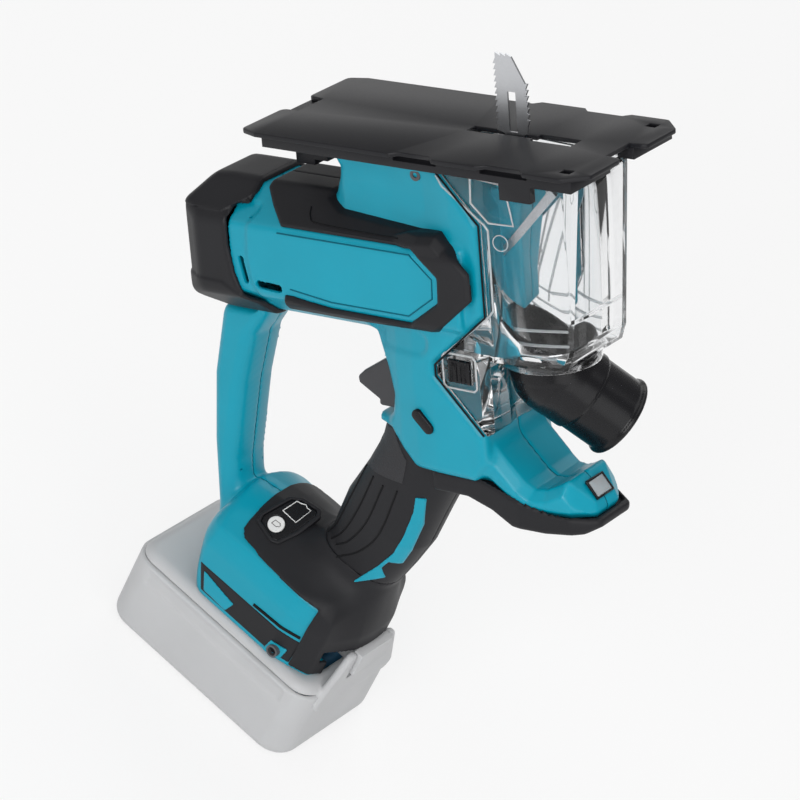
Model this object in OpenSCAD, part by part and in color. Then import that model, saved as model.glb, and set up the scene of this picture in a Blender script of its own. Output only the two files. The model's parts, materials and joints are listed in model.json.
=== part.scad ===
// Cordless drywall cut-out tool: a short saw blade stands through a base plate,
// driven by a motor barrel on a D-handle that rests on its slide-on battery.
// The part stands on the battery's floor, +Z up, origin at the middle of that floor.
// The working head has its own frame: x along the plate, y across, z out of the plate.

/* [Layout] */
// Lean of the plate against the battery floor, in degrees
tilt = 32; // [30:0.5:34]
// Distance from the origin back to the rear edge of the plate
head_back = 92; // [90:0.5:94]
// Height of the plate's rear edge above the floor
head_up = 266; // [264:0.5:268]
// Length that the side outlines of the housing follow
body_l = 200; // [194:1:206]
// Height that the side outlines of the housing follow
body_h = 200; // [194:1:206]
// Wall of the housing
wall = 2.5; // [2:0.1:3]

/* [Housing] */
// Width of the motor barrel
barrel_w = 60; // [57:0.5:64]
// Height of the motor barrel
barrel_h = 58; // [56:0.5:61]
// Depth of the motor axis under the plate
axis_drop = 62.5; // [61.5:0.5:63.5]
// Width of the head below the plate
head_w = 52; // [51:0.5:55]
// Width of the beak that carries the lamp
beak_w = 45; // [42:0.5:48]
// Width of the rear bar of the handle
bar_w = 26; // [24:0.5:30]
// Depth of the grip core, front to rear
grip_d = 42; // [40:0.5:44]
// Width of the grip core
grip_w = 31; // [29:0.5:34]
// Thickness of the rubber on the grip and the foot
rubber_t = 1.7; // [1.2:0.1:2.2]
// Length of the foot over the battery
foot_l = 86; // [84:0.5:88]
// Width of the foot
foot_w = 72; // [71:0.5:76]
// Height of the foot
foot_h = 52; // [50:0.5:54]
// Length of the rear cap
cap_l = 27; // [24:0.5:30]

/* [Base plate] */
// Length of the base plate
plate_l = 171; // [168:1:176]
// Width of the base plate
plate_w = 81.5; // [79:0.5:86]
// Thickness of the steel plate
plate_t = 2; // [1.5:0.1:2.5]
// Thickness of the plastic frame under the plate
frame_t = 5; // [4:0.5:5]
// Diameter of the guide posts
post_d = 7; // [6:0.5:8]

/* [Blade] */
// Length of the blade above the plate
blade_up = 34.5; // [25:0.5:40]
// Width of the blade over its teeth
blade_w = 16.5; // [14:0.5:18]
// Thickness of the blade
blade_t = 1; // [0.8:0.1:1.4]
// Stroke of the blade
stroke = 6; // [4:0.5:6]
// Diameter of the plunger rod
rod_d = 8; // [7:0.5:9]

/* [Drive] */
// Diameter of the motor can
motor_d = 44; // [40:0.5:46]
// Length of the motor can
motor_l = 58; // [54:0.5:59]
// Diameter of the motor shaft
shaft_d = 5; // [4:0.5:6]
// Teeth of the pinion
pinion_n = 8; // [7:1:10]
// Teeth of the crown gear
crown_n = 28; // [24:1:32]
// Outer radius of the crown gear
crown_r = 16; // [15:0.5:16]

/* [Dust box] */
// Width of the dust box where it meets the head
box_w = 49; // [46:0.5:50]
// Wall of the dust box
box_wall = 2.2; // [1.8:0.1:2.6]
// Outer diameter of the nozzle
nozzle_d = 36; // [34:0.5:38]
// Wall of the nozzle
nozzle_wall = 2; // [1.6:0.1:2.4]
// Fall of the nozzle's outlet below the plate's plane, in degrees
nozzle_fall = 43; // [41:1:47]
// Turn of the nozzle towards the far side as the tool stands, in degrees
nozzle_turn = 45; // [30:1:50]

/* [Battery] */
// Length of the battery case
pack_l = 110; // [108:1:114]
// Width of the battery case
pack_w = 75; // [74:0.5:80]
// Height of the lower battery case
pack_low_h = 40; // [39.5:0.5:42]
// Thickness of the battery's deck
deck_t = 4.5; // [4:0.1:5]
// Length of one cell
cell_l = 65; // [60:1:66]

/* [Hidden] */
$fn = 48;
over = 1;
gap = 0.35;
run = 0.05;

// Side outlines of the housing as shares of body_l and body_h: x, z and corner radius,
// counter-clockwise, from the rear edge of the plate's top.
head_shares = [
    [0.235, -0.68, 0.01], [0.33, -0.75, 0.03], [0.5, -0.755, 0.02], [0.525, -0.7, 0], [0.525, -0.63, 0],
    [0.41, -0.512, 0.012], [0.41, -0.485, 0.012], [0.5475, -0.36, 0], [0.5475, -0.16, 0],
    [0.4425, -0.045, 0], [0.2, -0.045, 0.01], [0.205, -0.1, 0.02], [0.18, -0.15, 0.02], [0.18, -0.3, 0],
    [0.15, -0.44, 0], [0.225, -0.465, 0.05], [0.265, -0.54, 0.04], [0.265, -0.62, 0.01], [0.225, -0.65,
        0.015]
];
beak_shares = [
    [0.36, -0.735, 0], [0.51, -0.75, 0.05], [0.585, -0.805, 0.05], [0.66, -0.81, 0.04], [0.735, -0.81,
        0.015],
    [0.752, -0.797, 0.005], [0.6875, -0.7225, 0.01], [0.625, -0.752, 0.02], [0.594, -0.739, 0.01],
    [0.515, -0.625, 0], [0.46, -0.6, 0], [0.36, -0.6, 0]
];
beak_plan_shares = [[0.3, 1, 0], [0.59, 1, 0.05], [0.7, 0.78, 0.04], [0.755, 0.42, 0.03]];
bumper_shares = [
    [0.37, -0.785, 0.01], [0.46, -0.785, 0.03], [0.52, -0.805, 0.04], [0.57, -0.834, 0.04],
    [0.645, -0.841, 0.04], [0.735, -0.837, 0.02], [0.768, -0.808, 0.01], [0.755, -0.79, 0],
    [0.66, -0.79, 0], [0.5, -0.735, 0], [0.37, -0.735, 0]
];
bar_shares = [
    [-0.285, -1.03, 0], [-0.22, -1.02, 0], [-0.205, -0.85, 0.2], [-0.16, -0.66, 0.3], [-0.12, -0.54, 0.2],
    [-0.065, -0.47, 0.05], [-0.01, -0.43, 0], [-0.105, -0.43, 0], [-0.105, -0.4625, 0], [-0.205, -0.4625,
        0.01],
    [-0.215, -0.49, 0.05], [-0.253, -0.635, 0.3], [-0.273, -0.8, 0.3]
];
bar_room_shares = [
    [-0.28, -1, 0], [-0.223, -0.995, 0], [-0.205, -0.85, 0.2], [-0.16, -0.66, 0.3], [-0.12, -0.54, 0.2],
    [-0.11, -0.515, 0], [-0.216, -0.515, 0], [-0.253, -0.635, 0.3], [-0.273, -0.8, 0.3]
];
trim_shares = [
    [-0.4, -0.6, 0], [0.41, -0.6, 0], [0.41, -0.485, 0.012], [0.5475, -0.36, 0], [0.5475, 0, 0], [-0.4,
        0, 0]
];
cap_shares = [
    [0, -0.4625, 0], [1, -0.4625, 0], [1, -0.146, 0], [0.66, -0.146, 0.03], [0.2, -0.2, 0.03],
    [0.01, -0.26, 0.01], [0.01, -0.39, 0.01], [0.25, -0.44, 0.02]
];
pad_shares = [
    [0.02, -0.41, 0], [0.19, -0.4125, 0], [0.43, -0.405, 0.02], [0.53, -0.31, 0.015], [0.53, -0.265, 0.015],
    [0.44, -0.178, 0.015], [0.2, -0.155, 0], [0.2, -0.08, 0], [0.015, -0.08, 0], [0.015, -0.14, 0.02],
        [0.045, -0.222, 0.02],
    [0.38, -0.243, 0.01], [0.44, -0.285, 0.01], [0.44, -0.32, 0.01], [0.385, -0.372, 0.01], [0.06,
        -0.363, 0.01],
    [0.03, -0.385, 0.02]
];
box_shares = [
    [0.53, -0.631, 0.01], [0.55, -0.62, 0.01], [0.55, -0.46, 0], [0.73, -0.46, 0.01], [0.745, -0.42, 0.01],
    [0.7775, -0.0475, 0.01], [0.4425, -0.0475, 0]
];
box_plan_shares = [[0.35, 1, 0], [0.56, 1, 0.02], [0.74, 0.82, 0.02], [0.79, 0.72, 0.02]];
room_shares = [
    [0.4, -0.449, 0], [0.719, -0.449, 0.005], [0.7335, -0.415, 0.005], [0.766, 0.02, 0], [0.4, 0.02, 0]
];
pocket_shares = [
    [0.45, -0.566, 0], [0.505, -0.605, 0.005], [0.515, -0.597, 0.005], [0.515, -0.471, 0], [0.4, -0.471, 0]
];
trigger_shares = [
    [0.2125, -0.6325, 0.006], [0.295, -0.6325, 0], [0.295, -0.52, 0], [0.24, -0.52, 0.01], [0.23, -0.54,
        0.015],
    [0.175, -0.584, 0.004], [0.179, -0.595, 0.004], [0.215, -0.618, 0.01]
];

// The foot's outlines as shares of its length, half width and height
foot_side_shares = [
    [0.14, 0, 0], [1, 0, 0], [1, 0.48, 0.1], [0.86, 0.83, 0.25], [0.63, 1, 0.15], [0.3, 1, 0.2],
    [0.05, 0.9, 0.15], [0, 0.52, 0.1]
];
foot_plan_shares = [[0, 0.66, 0.1], [0.1, 1, 0.1], [0.69, 1, 0.2], [0.91, 0.78, 0.2], [1, 0.34, 0.15]];
foot_section_shares = [[1, 0, 0], [1, 0.52, 0.02], [0.86, 0.7, 0.02], [0.17, 1, 0.1]];
foot_cover_shares = [[0.86, 0, 0], [1.1, 0, 0], [1.1, 1.1, 0], [0.14, 1.1, 0], [0.23, 0.72, 0.06], [0.86,
    0.7, 0.02]];

bumper_long_share = 1.02;

// Barrel section: side flats, chamfers, narrow top and bottom
barrel_flat_share = 0.48;
barrel_top_share = 0.4;
barrel_edge = 3;
barrel_rear_share = -0.105;
barrel_front_share = 0.5;
barrel_rear = barrel_rear_share * body_l;
barrel_front = barrel_front_share * body_l;
pad_t = 1.2;
pad_gap = 0.6;
cap_grow = 1;
cap_wall = 2.4;
cap_plan_share = 0.62;
cap_rise_share = 0.3;

// Battery slide, from the floor up
deck_z = pack_low_h + deck_t;
foot_z = deck_z + gap;
foot_back_share = 0.395;
foot_x = -foot_back_share * foot_l;
neck_h = 10;
neck_half = 22;
rail_h = 6;
rail_half = 26;
lip_z = foot_z + neck_h;
rail_top = lip_z + gap + rail_h;
slot_back = 12;
slot_x = foot_x + slot_back;
rail_x = slot_x + gap;
rail_l_share = 0.75;
rail_end = foot_x + rail_l_share * foot_l + slot_back;
foot_wall = 3;

// Grip column
grip_x_share = 0.4;
grip_x = grip_x_share * foot_l;
grip_low_share = 0.66;
grip_low = foot_z + grip_low_share * foot_h;
grip_up_share = 0.55;
grip_up = grip_low + grip_up_share * body_h;
ledge_share = -0.65;
sleeve_top_share = -0.672;
grip_cut = -ledge_share * body_h;

// Drive, along the head's x
motor_x_share = -0.06;
motor_x = motor_x_share * body_l;
motor_end = motor_x + motor_l;
can_wall = 2;
can_plate = 6;
case_l_share = 0.29;
case_x = motor_end + run;
case_l = case_l_share * body_l;
case_w = 40;
case_h = 43;
case_wall = 3;
case_back = 5;
bearing_w = 4;
front_bearing_d = 16;
rear_bearing_d = 13;
crank_x_share = 0.42;
crank_x = crank_x_share * body_l;
crown_face = 4.7;
crown_tooth_h = 1.2;
crown_tooth_in = 10.5;
crown_tooth_t = 1;
crown_t = 4;
hub_r = 5;
gear_shaft_d = 6;
shaft_boss_r = 6;
shaft_boss_in = 12;
pinion_r = 4.4;
pinion_root_share = 0.75;
pinion_l = 7;
pinion_end = crank_x - crown_tooth_in + gap;
crank_pin_d = 4;
crank_pin_l = 9;
yoke_t = 8;
yoke_rim = 3.2;
yoke_slot_x = stroke / 2 + crank_pin_d / 2 + gap;
yoke_slot_z = stroke + crank_pin_d / 2 + gap;
arm_h = 6;
arm_t = 6;
arm_rise = 10.5;
core_d = 32;
core_l = 28;
core_in = 20;
core_x = motor_x + core_in;
commutator_d = 14;
commutator_l = 9;
commutator_in = 9;
commutator_x = motor_x + commutator_in;
magnet_in = 33;
magnet_l = 30;
magnet_split = 7;
fan_d = 37;
fan_t = 6;
fan_in = 8;
fan_x = motor_end - fan_in;
fan_hub_d = 12;
fan_blades = 9;
fan_blade_t = 1.4;
brush_w = 5;
brush_h = 6;
brush_gap = 0.2;
rib_t = 3;
rib_places_shares = [0.2, 0.8];

// Plunger tower and blade, in the head's frame
rod_x_share = 0.565;
rod_x = rod_x_share * body_l;
tower_l = 16;
tower_w = 18;
tower_top_share = -0.12;
tower_low_share = -0.38;
tower_top = tower_top_share * body_h;
tower_low = tower_low_share * body_h;
bush_d = 12;
bush_h = 9;
rod_in = 4;
rod_top = tower_top + stroke / 2 + 2 * gap;
rod_low = tower_low + rod_in;
clamp_l = 12;
clamp_w = 10;
clamp_h = 11;
clamp_top = rod_top + clamp_h;
clamp_screw_d = 4;
clamp_head_d = 7;
clamp_head_t = 2.5;
shank_w = 9;
tooth_pitch = 2.6;
tooth_h = 1.3;
blade_lean = 0.5;
blade_shoulder_share = 0.35;
window_w = 4;
window_share = 0.5;
stay_w = 4;
stay_t = 1.6;
stay_l = 42;
stay_angle = 50;
stay_x_share = 0.553;
stay_z_share = -0.265;

// Base plate and its frame
slot_w = 3;
slot_room = 6;
notch_w = 17.5;
notch_l = 8;
recess_d = 3;
recess_places_shares = [[0.456, 0.582], [0.708, 0.842]];
window_places_shares = [[0.532, 0.608, 3], [0.72, 0.836, 4]];
corner_hole_l = 5;
corner_hole_w = 4;
corner_hole_in = 9;
plate_r = 3;
plate_bevel = 9;
frame_in = 3;
frame_rear_share = 0.06;
frame_front_share = 0.965;
frame_hole_share = 0.5;
frame_rim = 8;
gap_h = 2;
frame_low = -plate_t - frame_t;
tongue_l = 24;
tongue_w = 22;
leg_l = 10;
leg_w = 6;
leg_h = 19;
leg_flange_l = 17;
leg_flange_t = 2.5;
hook_l = 15;
hook_w = 4;
hook_h = 7;
hook_x_share = 0.76;
post_places_shares = [0.26, 0.39];
post_l = 31;
sleeve_wall = 2.5;
depth_screw_d = 5;
depth_screw_z_share = -0.075;

// Trigger, switch, lock, lamp, gauge
trigger_w = 30;
trigger_x_share = 0.295;
trigger_travel = 5;
spring_d = 6;
spring_wire = 0.8;
spring_turns = 4;
spring_steps = 8;
spring_sides = 6;
switch_x = trigger_x_share * body_l + trigger_travel + gap;
switch_l = 13;
switch_h = 20;
switch_w = 20;
switch_z_share = -0.52;
spring_z_share = -0.56;
switch_z = switch_z_share * body_h;
lock_x_share = 0.37;
lock_z_share = -0.622;
lock_l = 12.5;
lock_w = 5;
lock_proud = 1.2;
lock_turn = 45;
lens_l = 11;
lens_h = 7.5;
lens_t = 3;
lens_turn = 51;
lens_x_share = 0.716;
lens_z_share = -0.758;
board_t = 1.6;
gauge_l = 17;
gauge_w = 30;
gauge_t = 1.6;
gauge_x_share = 0.34;
gauge_y_share = 0.47;
gauge_rise_share = 0.3;
check_d = 8;
check_t = 1.2;
check_in_share = -0.27;
hook_bore_d = 4.2;
hook_insert_d = 6;
hook_insert_l = 6.5;
hook_insert_x_share = 0.715;
hook_insert_x = foot_x + hook_insert_x_share * foot_l;
hook_insert_z = foot_z + neck_h / 2;

// Housing screws: places as shares in the head's frame, along y
screw_shares = [[0.23, -0.075], [0.29, -0.455], [0.62, -0.78], [0.3, -0.69], [-0.19, -0.62], [-0.03,
    -0.445]];
foot_screw_shares = [[0.5, 0.78]];
screw_d = 4;
screw_l = 19;
screw_head_d = 7;
screw_head_t = 2.6;
screw_seat = 7;
boss_d = 9;

// Nozzle and latch of the dust box
outlet_x_share = 0.622;
outlet_x = outlet_x_share * body_l;
floor_share = -0.46;
floor_z = floor_share * body_h;
flange_h = 4;
flange_wall = 3;
collar_up = 6;
collar_lip = 1;
collar_lip_t = 2;
joint_drop = 6;
outlet_l = 37;
lip_l = 3;
lip_t = 1.2;
seal_t = 1.1;
seal_h = 2;
latch_x_share = 0.47;
latch_z_share = -0.495;
latch_l = 11;
latch_h = 10;
latch_t = 8;
latch_proud = 1;
latch_ribs = 4;
latch_rib = 0.6;

// Battery details
pack_r = 9;
pack_wall = 1.8;
pack_floor = 1.6;
cell_gap = 0.4;
cell_share = 0.45;
cell_rows = 5;
// The cells fill the case's height, and never more than a fifth of its length inside the walls
cell_d = min(cell_share * pack_low_h, (pack_l - 4 * pack_wall) / cell_rows - cell_gap);
hump_t = 4;
hump_gap = 0.6;
hump_x = foot_x + foot_l + hump_gap;
hump_half = 30;
hump_h = 17;
contact_half = 12;
contact_t = 0.8;
contact_l = 16;
contact_drop = 7;
contact_slot = 1.8;
block_l_share = 0.35;
block_x_share = 0.2;
block_h = 8;
button_w = 24;
button_t = 3;
button_h = 13;
tooth_l = 3.2;
tooth_w = 14;
button_reach = 4.5;

// Outline helpers
function unit(v) = v / norm(v);
function xy(p) = [p[0], p[1]];
function radius(p) = p[2] == undef ? 0 : p[2];
function at(p) = [p[0] * body_l, p[1] * body_h, radius(p) * body_h];
function side(shares) = [for (p = shares) at(p)];
function sized(shares, l, h, r) = [for (p = shares) [p[0] * l, p[1] * h, radius(p) * r]];
function flipped(p) = [for (q = p) [q[0], -q[1], radius(q)]];
function reversed(p) = [for (i = [len(p) - 1 : -1 : 0]) p[i]];
function both_sides(p) = concat(flipped(p), reversed(p));
function corner(a, b, c, r, n) =
    let (
        u = unit(a - b),
        v = unit(c - b),
        half = acos(max(-1, min(1, u * v))) / 2,
        o = b + unit(u + v) * r / sin(half),
        p = b + u * r / tan(half),
        q = b + v * r / tan(half),
        from = atan2(p[1] - o[1], p[0] - o[0]),
        to = atan2(q[1] - o[1], q[0] - o[0]),
        sweep = (to - from + 540) % 360 - 180
    )
    [for (i = [0 : n]) o + r * [cos(from + sweep * i / n), sin(from + sweep * i / n)]];
function rounded(p, n = 4) = [
    for (i = [0 : len(p) - 1])
        let (a = xy(p[(i + len(p) - 1) % len(p)]), b = xy(p[i]), c = xy(p[(i + 1) % len(p)]),
            r = radius(p[i]))
        each (r > 0 ? corner(a, b, c, r, n) : [b])
];
function shrink(p, d) = [
    for (i = [0 : len(p) - 1])
        let (
            a = xy(p[(i + len(p) - 1) % len(p)]),
            b = xy(p[i]),
            c = xy(p[(i + 1) % len(p)]),
            u = unit(b - a),
            v = unit(c - b),
            m = [-u[1], u[0]],
            n = [-v[1], v[0]],
            o = b + (m + n) * d / (1 + m * n),
            bend = cross(u, v) > 0 ? 1 : -1
        )
        [o[0], o[1], radius(p[i]) > 0 ? max(0, radius(p[i]) - bend * d) : 0]
];
function octagon(w, h, flat_h, top_w, r) = [
    [w / 2, -flat_h / 2, r], [w / 2, flat_h / 2, r], [top_w / 2, h / 2, r], [-top_w / 2, h / 2, r],
    [-w / 2, flat_h / 2, r], [-w / 2, -flat_h / 2, r], [-top_w / 2, -h / 2, r], [top_w / 2, -h / 2, r]
];
function oval(l, w, n = 40) = [for (i = [0.5 : 1 : n]) [cos(360 * i / n) * l / 2,
    sin(360 * i / n) * w / 2]];
barrel_section = octagon(barrel_w, barrel_h, barrel_h * barrel_flat_share, barrel_w * barrel_top_share,
    barrel_edge);

// Shape helpers
module in_head() {
    translate([-head_back, 0, head_up]) rotate([0, -tilt, 0]) children();
}
module slab(p, w) {
    rotate([90, 0, 0]) linear_extrude(w, center = true) polygon(rounded(p));
}
module along_x(p, x0, x1) {
    translate([x0, 0, 0]) rotate([90, 0, 90]) linear_extrude(x1 - x0) polygon(rounded(p));
}
module on_axis() {
    translate([0, 0, -axis_drop]) children();
}
module rod_x_axis(d, x0, x1) {
    translate([x0, 0, 0]) rotate([0, 90, 0]) cylinder(d = d, h = x1 - x0);
}
module rod_y(d, y0, y1) {
    translate([0, y1, 0]) rotate([90, 0, 0]) cylinder(d = d, h = y1 - y0);
}
module box(x0, x1, w, z0, z1) {
    translate([x0, -w / 2, z0]) cube([x1 - x0, w, z1 - z0]);
}
module half_space(left) {
    room = body_l + body_h + head_up;
    translate([-room, left ? -room : 0, -room]) cube([2 * room, room, 2 * room]);
}
function helix_ring(i, r, h, n) =
    let (a = 360 * i / spring_steps, z = h * i / n)
    [for (k = [0 : spring_sides - 1])
        let (b = 360 * k / spring_sides)
        [(r + spring_wire / 2 * cos(b)) * cos(a), (r + spring_wire / 2 * cos(b)) * sin(a),
            z + spring_wire / 2 * sin(b)]];
module coil_spring(r, h, turns) {
    n = turns * spring_steps;
    m = spring_sides;
    points = [for (i = [0 : n]) each helix_ring(i, r, h - spring_wire, n)];
    walls = [for (i = [0 : n - 1], k = [0 : m - 1]) each [
        [i * m + k, i * m + (k + 1) % m, (i + 1) * m + k],
        [i * m + (k + 1) % m, (i + 1) * m + (k + 1) % m, (i + 1) * m + k]
    ]];
    ends = [for (k = [1 : m - 2]) each [[0, k + 1, k], [n * m, n * m + k, n * m + k + 1]]];
    translate([0, 0, spring_wire / 2]) polyhedron(points, concat(walls, ends));
}

// Housing volumes: d is how far the skin is drawn in
module barrel_solid(d) {
    intersection() {
        on_axis() along_x(shrink(barrel_section, d), barrel_rear - (d > 0 ? over : 0), barrel_front - d);
        slab(shrink(side(trim_shares), d), 2 * barrel_w);
    }
}
module head_solid(d) {
    slab(shrink(side(head_shares), d), head_w - 2 * d);
}
module beak_solid(d) {
    intersection() {
        slab(shrink(side(beak_shares), d), beak_w - 2 * d);
        translate([0, 0, -body_h]) linear_extrude(body_h)
            polygon(rounded(shrink(both_sides(sized(beak_plan_shares, body_l, beak_w / 2, body_l)), d)));
    }
}
module bar_solid(d) {
    slab(shrink(side(bar_shares), d), bar_w - 2 * d);
}
module grip_column(d, cut) {
    intersection() {
        translate([grip_x, 0, grip_low]) linear_extrude(grip_up - grip_low)
            polygon(oval(grip_d - 2 * d, grip_w - 2 * d));
        in_head() translate([-body_l, -body_l, -cut - 2 * body_h]) cube([3 * body_l, 2 * body_l,
            2 * body_h]);
    }
}
module foot_solid(d) {
    translate([foot_x, 0, foot_z]) intersection() {
        slab(shrink(sized(foot_side_shares, foot_l, foot_h, foot_h), d), foot_w - 2 * d);
        linear_extrude(foot_h) polygon(rounded(shrink(both_sides(sized(foot_plan_shares, foot_l,
            foot_w / 2, foot_w)), d)));
        along_x(shrink(foot_section(), d), 0, foot_l);
    }
}
function foot_section() =
    let (half = sized(foot_section_shares, foot_w / 2, foot_h, foot_h))
    concat(half, [for (i = [len(half) - 1 : -1 : 0]) [-half[i][0], half[i][1], half[i][2]]]);
module foot_room() {
    intersection() {
        foot_solid(foot_wall);
        translate([-body_l, -body_l, rail_top]) cube([2 * body_l, 2 * body_l, body_h]);
    }
    box(slot_x, slot_x + 2 * foot_l, 2 * (rail_half + gap), lip_z, rail_top + gap);
    box(slot_x, slot_x + 2 * foot_l, 2 * (neck_half + gap), foot_z - over, lip_z + over);
}
module tower() {
    translate([rod_x, 0, tower_low]) box(-tower_l / 2, tower_l / 2, tower_w, 0, tower_top - tower_low);
}
module outer_shell() {
    in_head() {
        barrel_solid(0);
        head_solid(0);
        beak_solid(0);
        bar_solid(0);
        tower();
    }
    grip_column(0, grip_cut);
    foot_solid(0);
}
module screw_places() {
    in_head() for (p = screw_shares) translate([p[0] * body_l, 0, p[1] * body_h]) children();
    for (p = foot_screw_shares) translate([foot_x + p[0] * foot_l, 0, foot_z + p[1] * foot_h]) children();
}
module motor_ribs() {
    for (s = rib_places_shares) on_axis()
        rod_x_axis(body_h, motor_x + s * motor_l - rib_t / 2, motor_x + s * motor_l + rib_t / 2);
}
module post_sleeves(d, h) {
    for (s = post_places_shares) translate([s * body_l, 0, -h]) cylinder(d = d, h = h);
}
module shell_room() {
    difference() {
        union() {
            in_head() {
                barrel_solid(wall);
                head_solid(wall);
                beak_solid(wall);
                slab(shrink(side(bar_room_shares), wall), bar_w - 2 * wall);
            }
            grip_column(wall, grip_cut - wall);
            foot_room();
        }
        in_head() {
            intersection() {
                motor_ribs();
                on_axis() rod_x_axis(barrel_h, barrel_rear, barrel_front + case_l);
            }
            post_sleeves(post_d + 2 * sleeve_wall, axis_drop - case_h / 2 - gap);
            translate([lock_x_share * body_l, 0, lock_z_share * body_h]) rotate([0, lock_turn, 0])
                box(-lock_l / 2 - wall, lock_l / 2 + wall, head_w, -lock_w / 2 - wall, lock_w / 2 + wall);
            box(switch_x, switch_x + switch_l, head_w, switch_z - switch_h / 2 - wall,
                switch_z - switch_h / 2 - run);
            on_axis() box(case_x + 2 * case_back, case_x + 2 * case_back + rib_t, head_w,
                -case_h / 2 - rib_t,
                case_h / 2 + rib_t);
        }
        screw_places() rod_y(boss_d, -foot_w, foot_w);
    }
}
module case_block(d) {
    intersection() {
        on_axis() box(case_x - d, case_x + case_l + d, case_w + 2 * d, -case_h / 2 - d, case_h / 2 + d);
        slab(shrink(side(trim_shares), wall + gap - d), 2 * barrel_w);
    }
}
module lens_place() {
    translate([lens_x_share * body_l, 0, lens_z_share * body_h]) rotate([0, lens_turn, 0]) children();
}
module gauge_place() {
    slope = atan2((1 - foot_section_shares[2][1]) * foot_h,
        (foot_section_shares[2][0] - foot_section_shares[3][0]) * foot_w / 2);
    drop = (gauge_y_share - foot_section_shares[3][0]) * foot_w / 2 * tan(slope);
    translate([foot_x + gauge_x_share * foot_l, -gauge_y_share * foot_w / 2,
        foot_z + foot_h - drop + rubber_t])
        rotate([slope, 0, 0]) children();
}
module pill(l, w, h) {
    for (s = [-1, 1]) translate([s * (l - w) / 2, 0, 0]) rotate([90, 0, 0]) cylinder(d = w, h = h,
        center = true);
    cube([l - w, h, w], center = true);
}
module lock_pill(grow) {
    translate([lock_x_share * body_l, 0, lock_z_share * body_h]) rotate([0, lock_turn, 0])
        pill(lock_l + 2 * grow, lock_w + 2 * grow, head_w + 2 * lock_proud);
}
module shell_cuts() {
    in_head() {
        on_axis() rod_x_axis(motor_d + 2 * run, motor_x - over, case_x + over);
        case_block(run);
        post_sleeves(post_d + 2 * run, axis_drop - case_h / 2 - 2 * gap);
        translate([rod_x, 0, tower_low - over]) cylinder(d = rod_d + 2 * gap,
            h = tower_top - tower_low + 2 * over);
        translate([rod_x, 0, tower_top - bush_h]) cylinder(d = bush_d + 2 * run, h = bush_h + over);
        translate([rod_x, 0, tower_low - over]) cylinder(d = bush_d + 2 * run, h = bush_h + over);
        on_axis() box(case_x, rod_x, arm_t + 2 * over, arm_rise - arm_h / 2 - stroke / 2 - over,
            arm_rise + arm_h / 2 + stroke / 2 + over);
        slab(shrink(side(trigger_shares), -gap), trigger_w + 2 * gap);
        lock_pill(gap);
        lens_place() cube([lens_h + 2 * run, lens_l + 2 * run, 2 * lens_t], center = true);
        translate([post_places_shares[1] * body_l, 0, depth_screw_z_share * body_h])
            rod_y(depth_screw_d + 2 * run, -head_w, -post_d / 2);
    }
    translate([hook_insert_x, 0, hook_insert_z]) rod_y(hook_insert_d + 2 * run, -foot_w,
        -foot_w / 2 + hook_insert_l);
    gauge_place() box(-gauge_l / 2 - run, gauge_l / 2 + run, gauge_w + 2 * run, -gauge_t, gauge_t);
    screw_places() {
        rod_y(screw_d + 2 * run, screw_seat - screw_l, screw_seat + over);
        rod_y(screw_head_d + 2 * gap, screw_seat, foot_w);
    }
}
module housing_half(left) {
    color("#0b9bb0") difference() {
        intersection() {
            outer_shell();
            half_space(left);
        }
        shell_room();
        shell_cuts();
    }
}
module housing_left() {
    housing_half(true);
}
module housing_right() {
    housing_half(false);
}

// Rear cap: a hollow cup that closes the barrel behind the motor
module cap_form(d) {
    rear = barrel_rear - cap_l;
    intersection() {
        translate([rear, 0, 0]) slab(shrink(sized(cap_shares, cap_l, body_h, body_h), d),
            barrel_w + 2 * cap_grow - 2 * d);
        translate([0, 0, -body_h]) linear_extrude(body_h) polygon(rounded(shrink([
            [rear, -barrel_w / 2 * cap_plan_share, barrel_edge],
            [rear + cap_l * cap_rise_share, -barrel_w / 2 - cap_grow, barrel_edge],
            [barrel_rear, -barrel_w / 2 - cap_grow],
            [barrel_rear, barrel_w / 2 + cap_grow],
            [rear + cap_l * cap_rise_share, barrel_w / 2 + cap_grow, barrel_edge],
            [rear, barrel_w / 2 * cap_plan_share, barrel_edge]
        ], d)));
        on_axis() along_x(shrink(octagon(barrel_w + 2 * cap_grow, barrel_h + 6 * cap_grow,
            barrel_h * barrel_flat_share, barrel_w * barrel_top_share, barrel_edge), d), rear, barrel_rear);
    }
}
module rear_cap() {
    color("#2a2a2c") in_head() difference() {
        cap_form(0);
        cap_form(cap_wall);
        on_axis() rod_x_axis(motor_d + 2 * over, barrel_rear - cap_l + 2 * cap_wall, barrel_rear + over);
    }
}

// Rubber on the barrel: a frame round the side panel that folds over the top
module barrel_pad(left) {
    color("#2a2a2c") in_head() intersection() {
        difference() {
            on_axis() along_x(shrink(barrel_section, -pad_t), barrel_rear, barrel_front + cap_l);
            barrel_solid(0);
            head_solid(0);
        }
        translate([0, (left ? -1 : 1) * (barrel_w / 4 + pad_gap), 0]) slab(side(pad_shares), barrel_w / 2);
    }
}
module barrel_pad_left() {
    barrel_pad(true);
}
module barrel_pad_right() {
    barrel_pad(false);
}
module grip_sleeve(left) {
    color("#2a2a2c") intersection() {
        difference() {
            grip_column(-rubber_t, -sleeve_top_share * body_h);
            grip_column(0, grip_cut);
            foot_solid(-rubber_t);
            in_head() {
                head_solid(0);
                beak_solid(0);
            }
        }
        half_space(left);
    }
}
module grip_sleeve_left() {
    grip_sleeve(true);
}
module grip_sleeve_right() {
    grip_sleeve(false);
}
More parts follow.
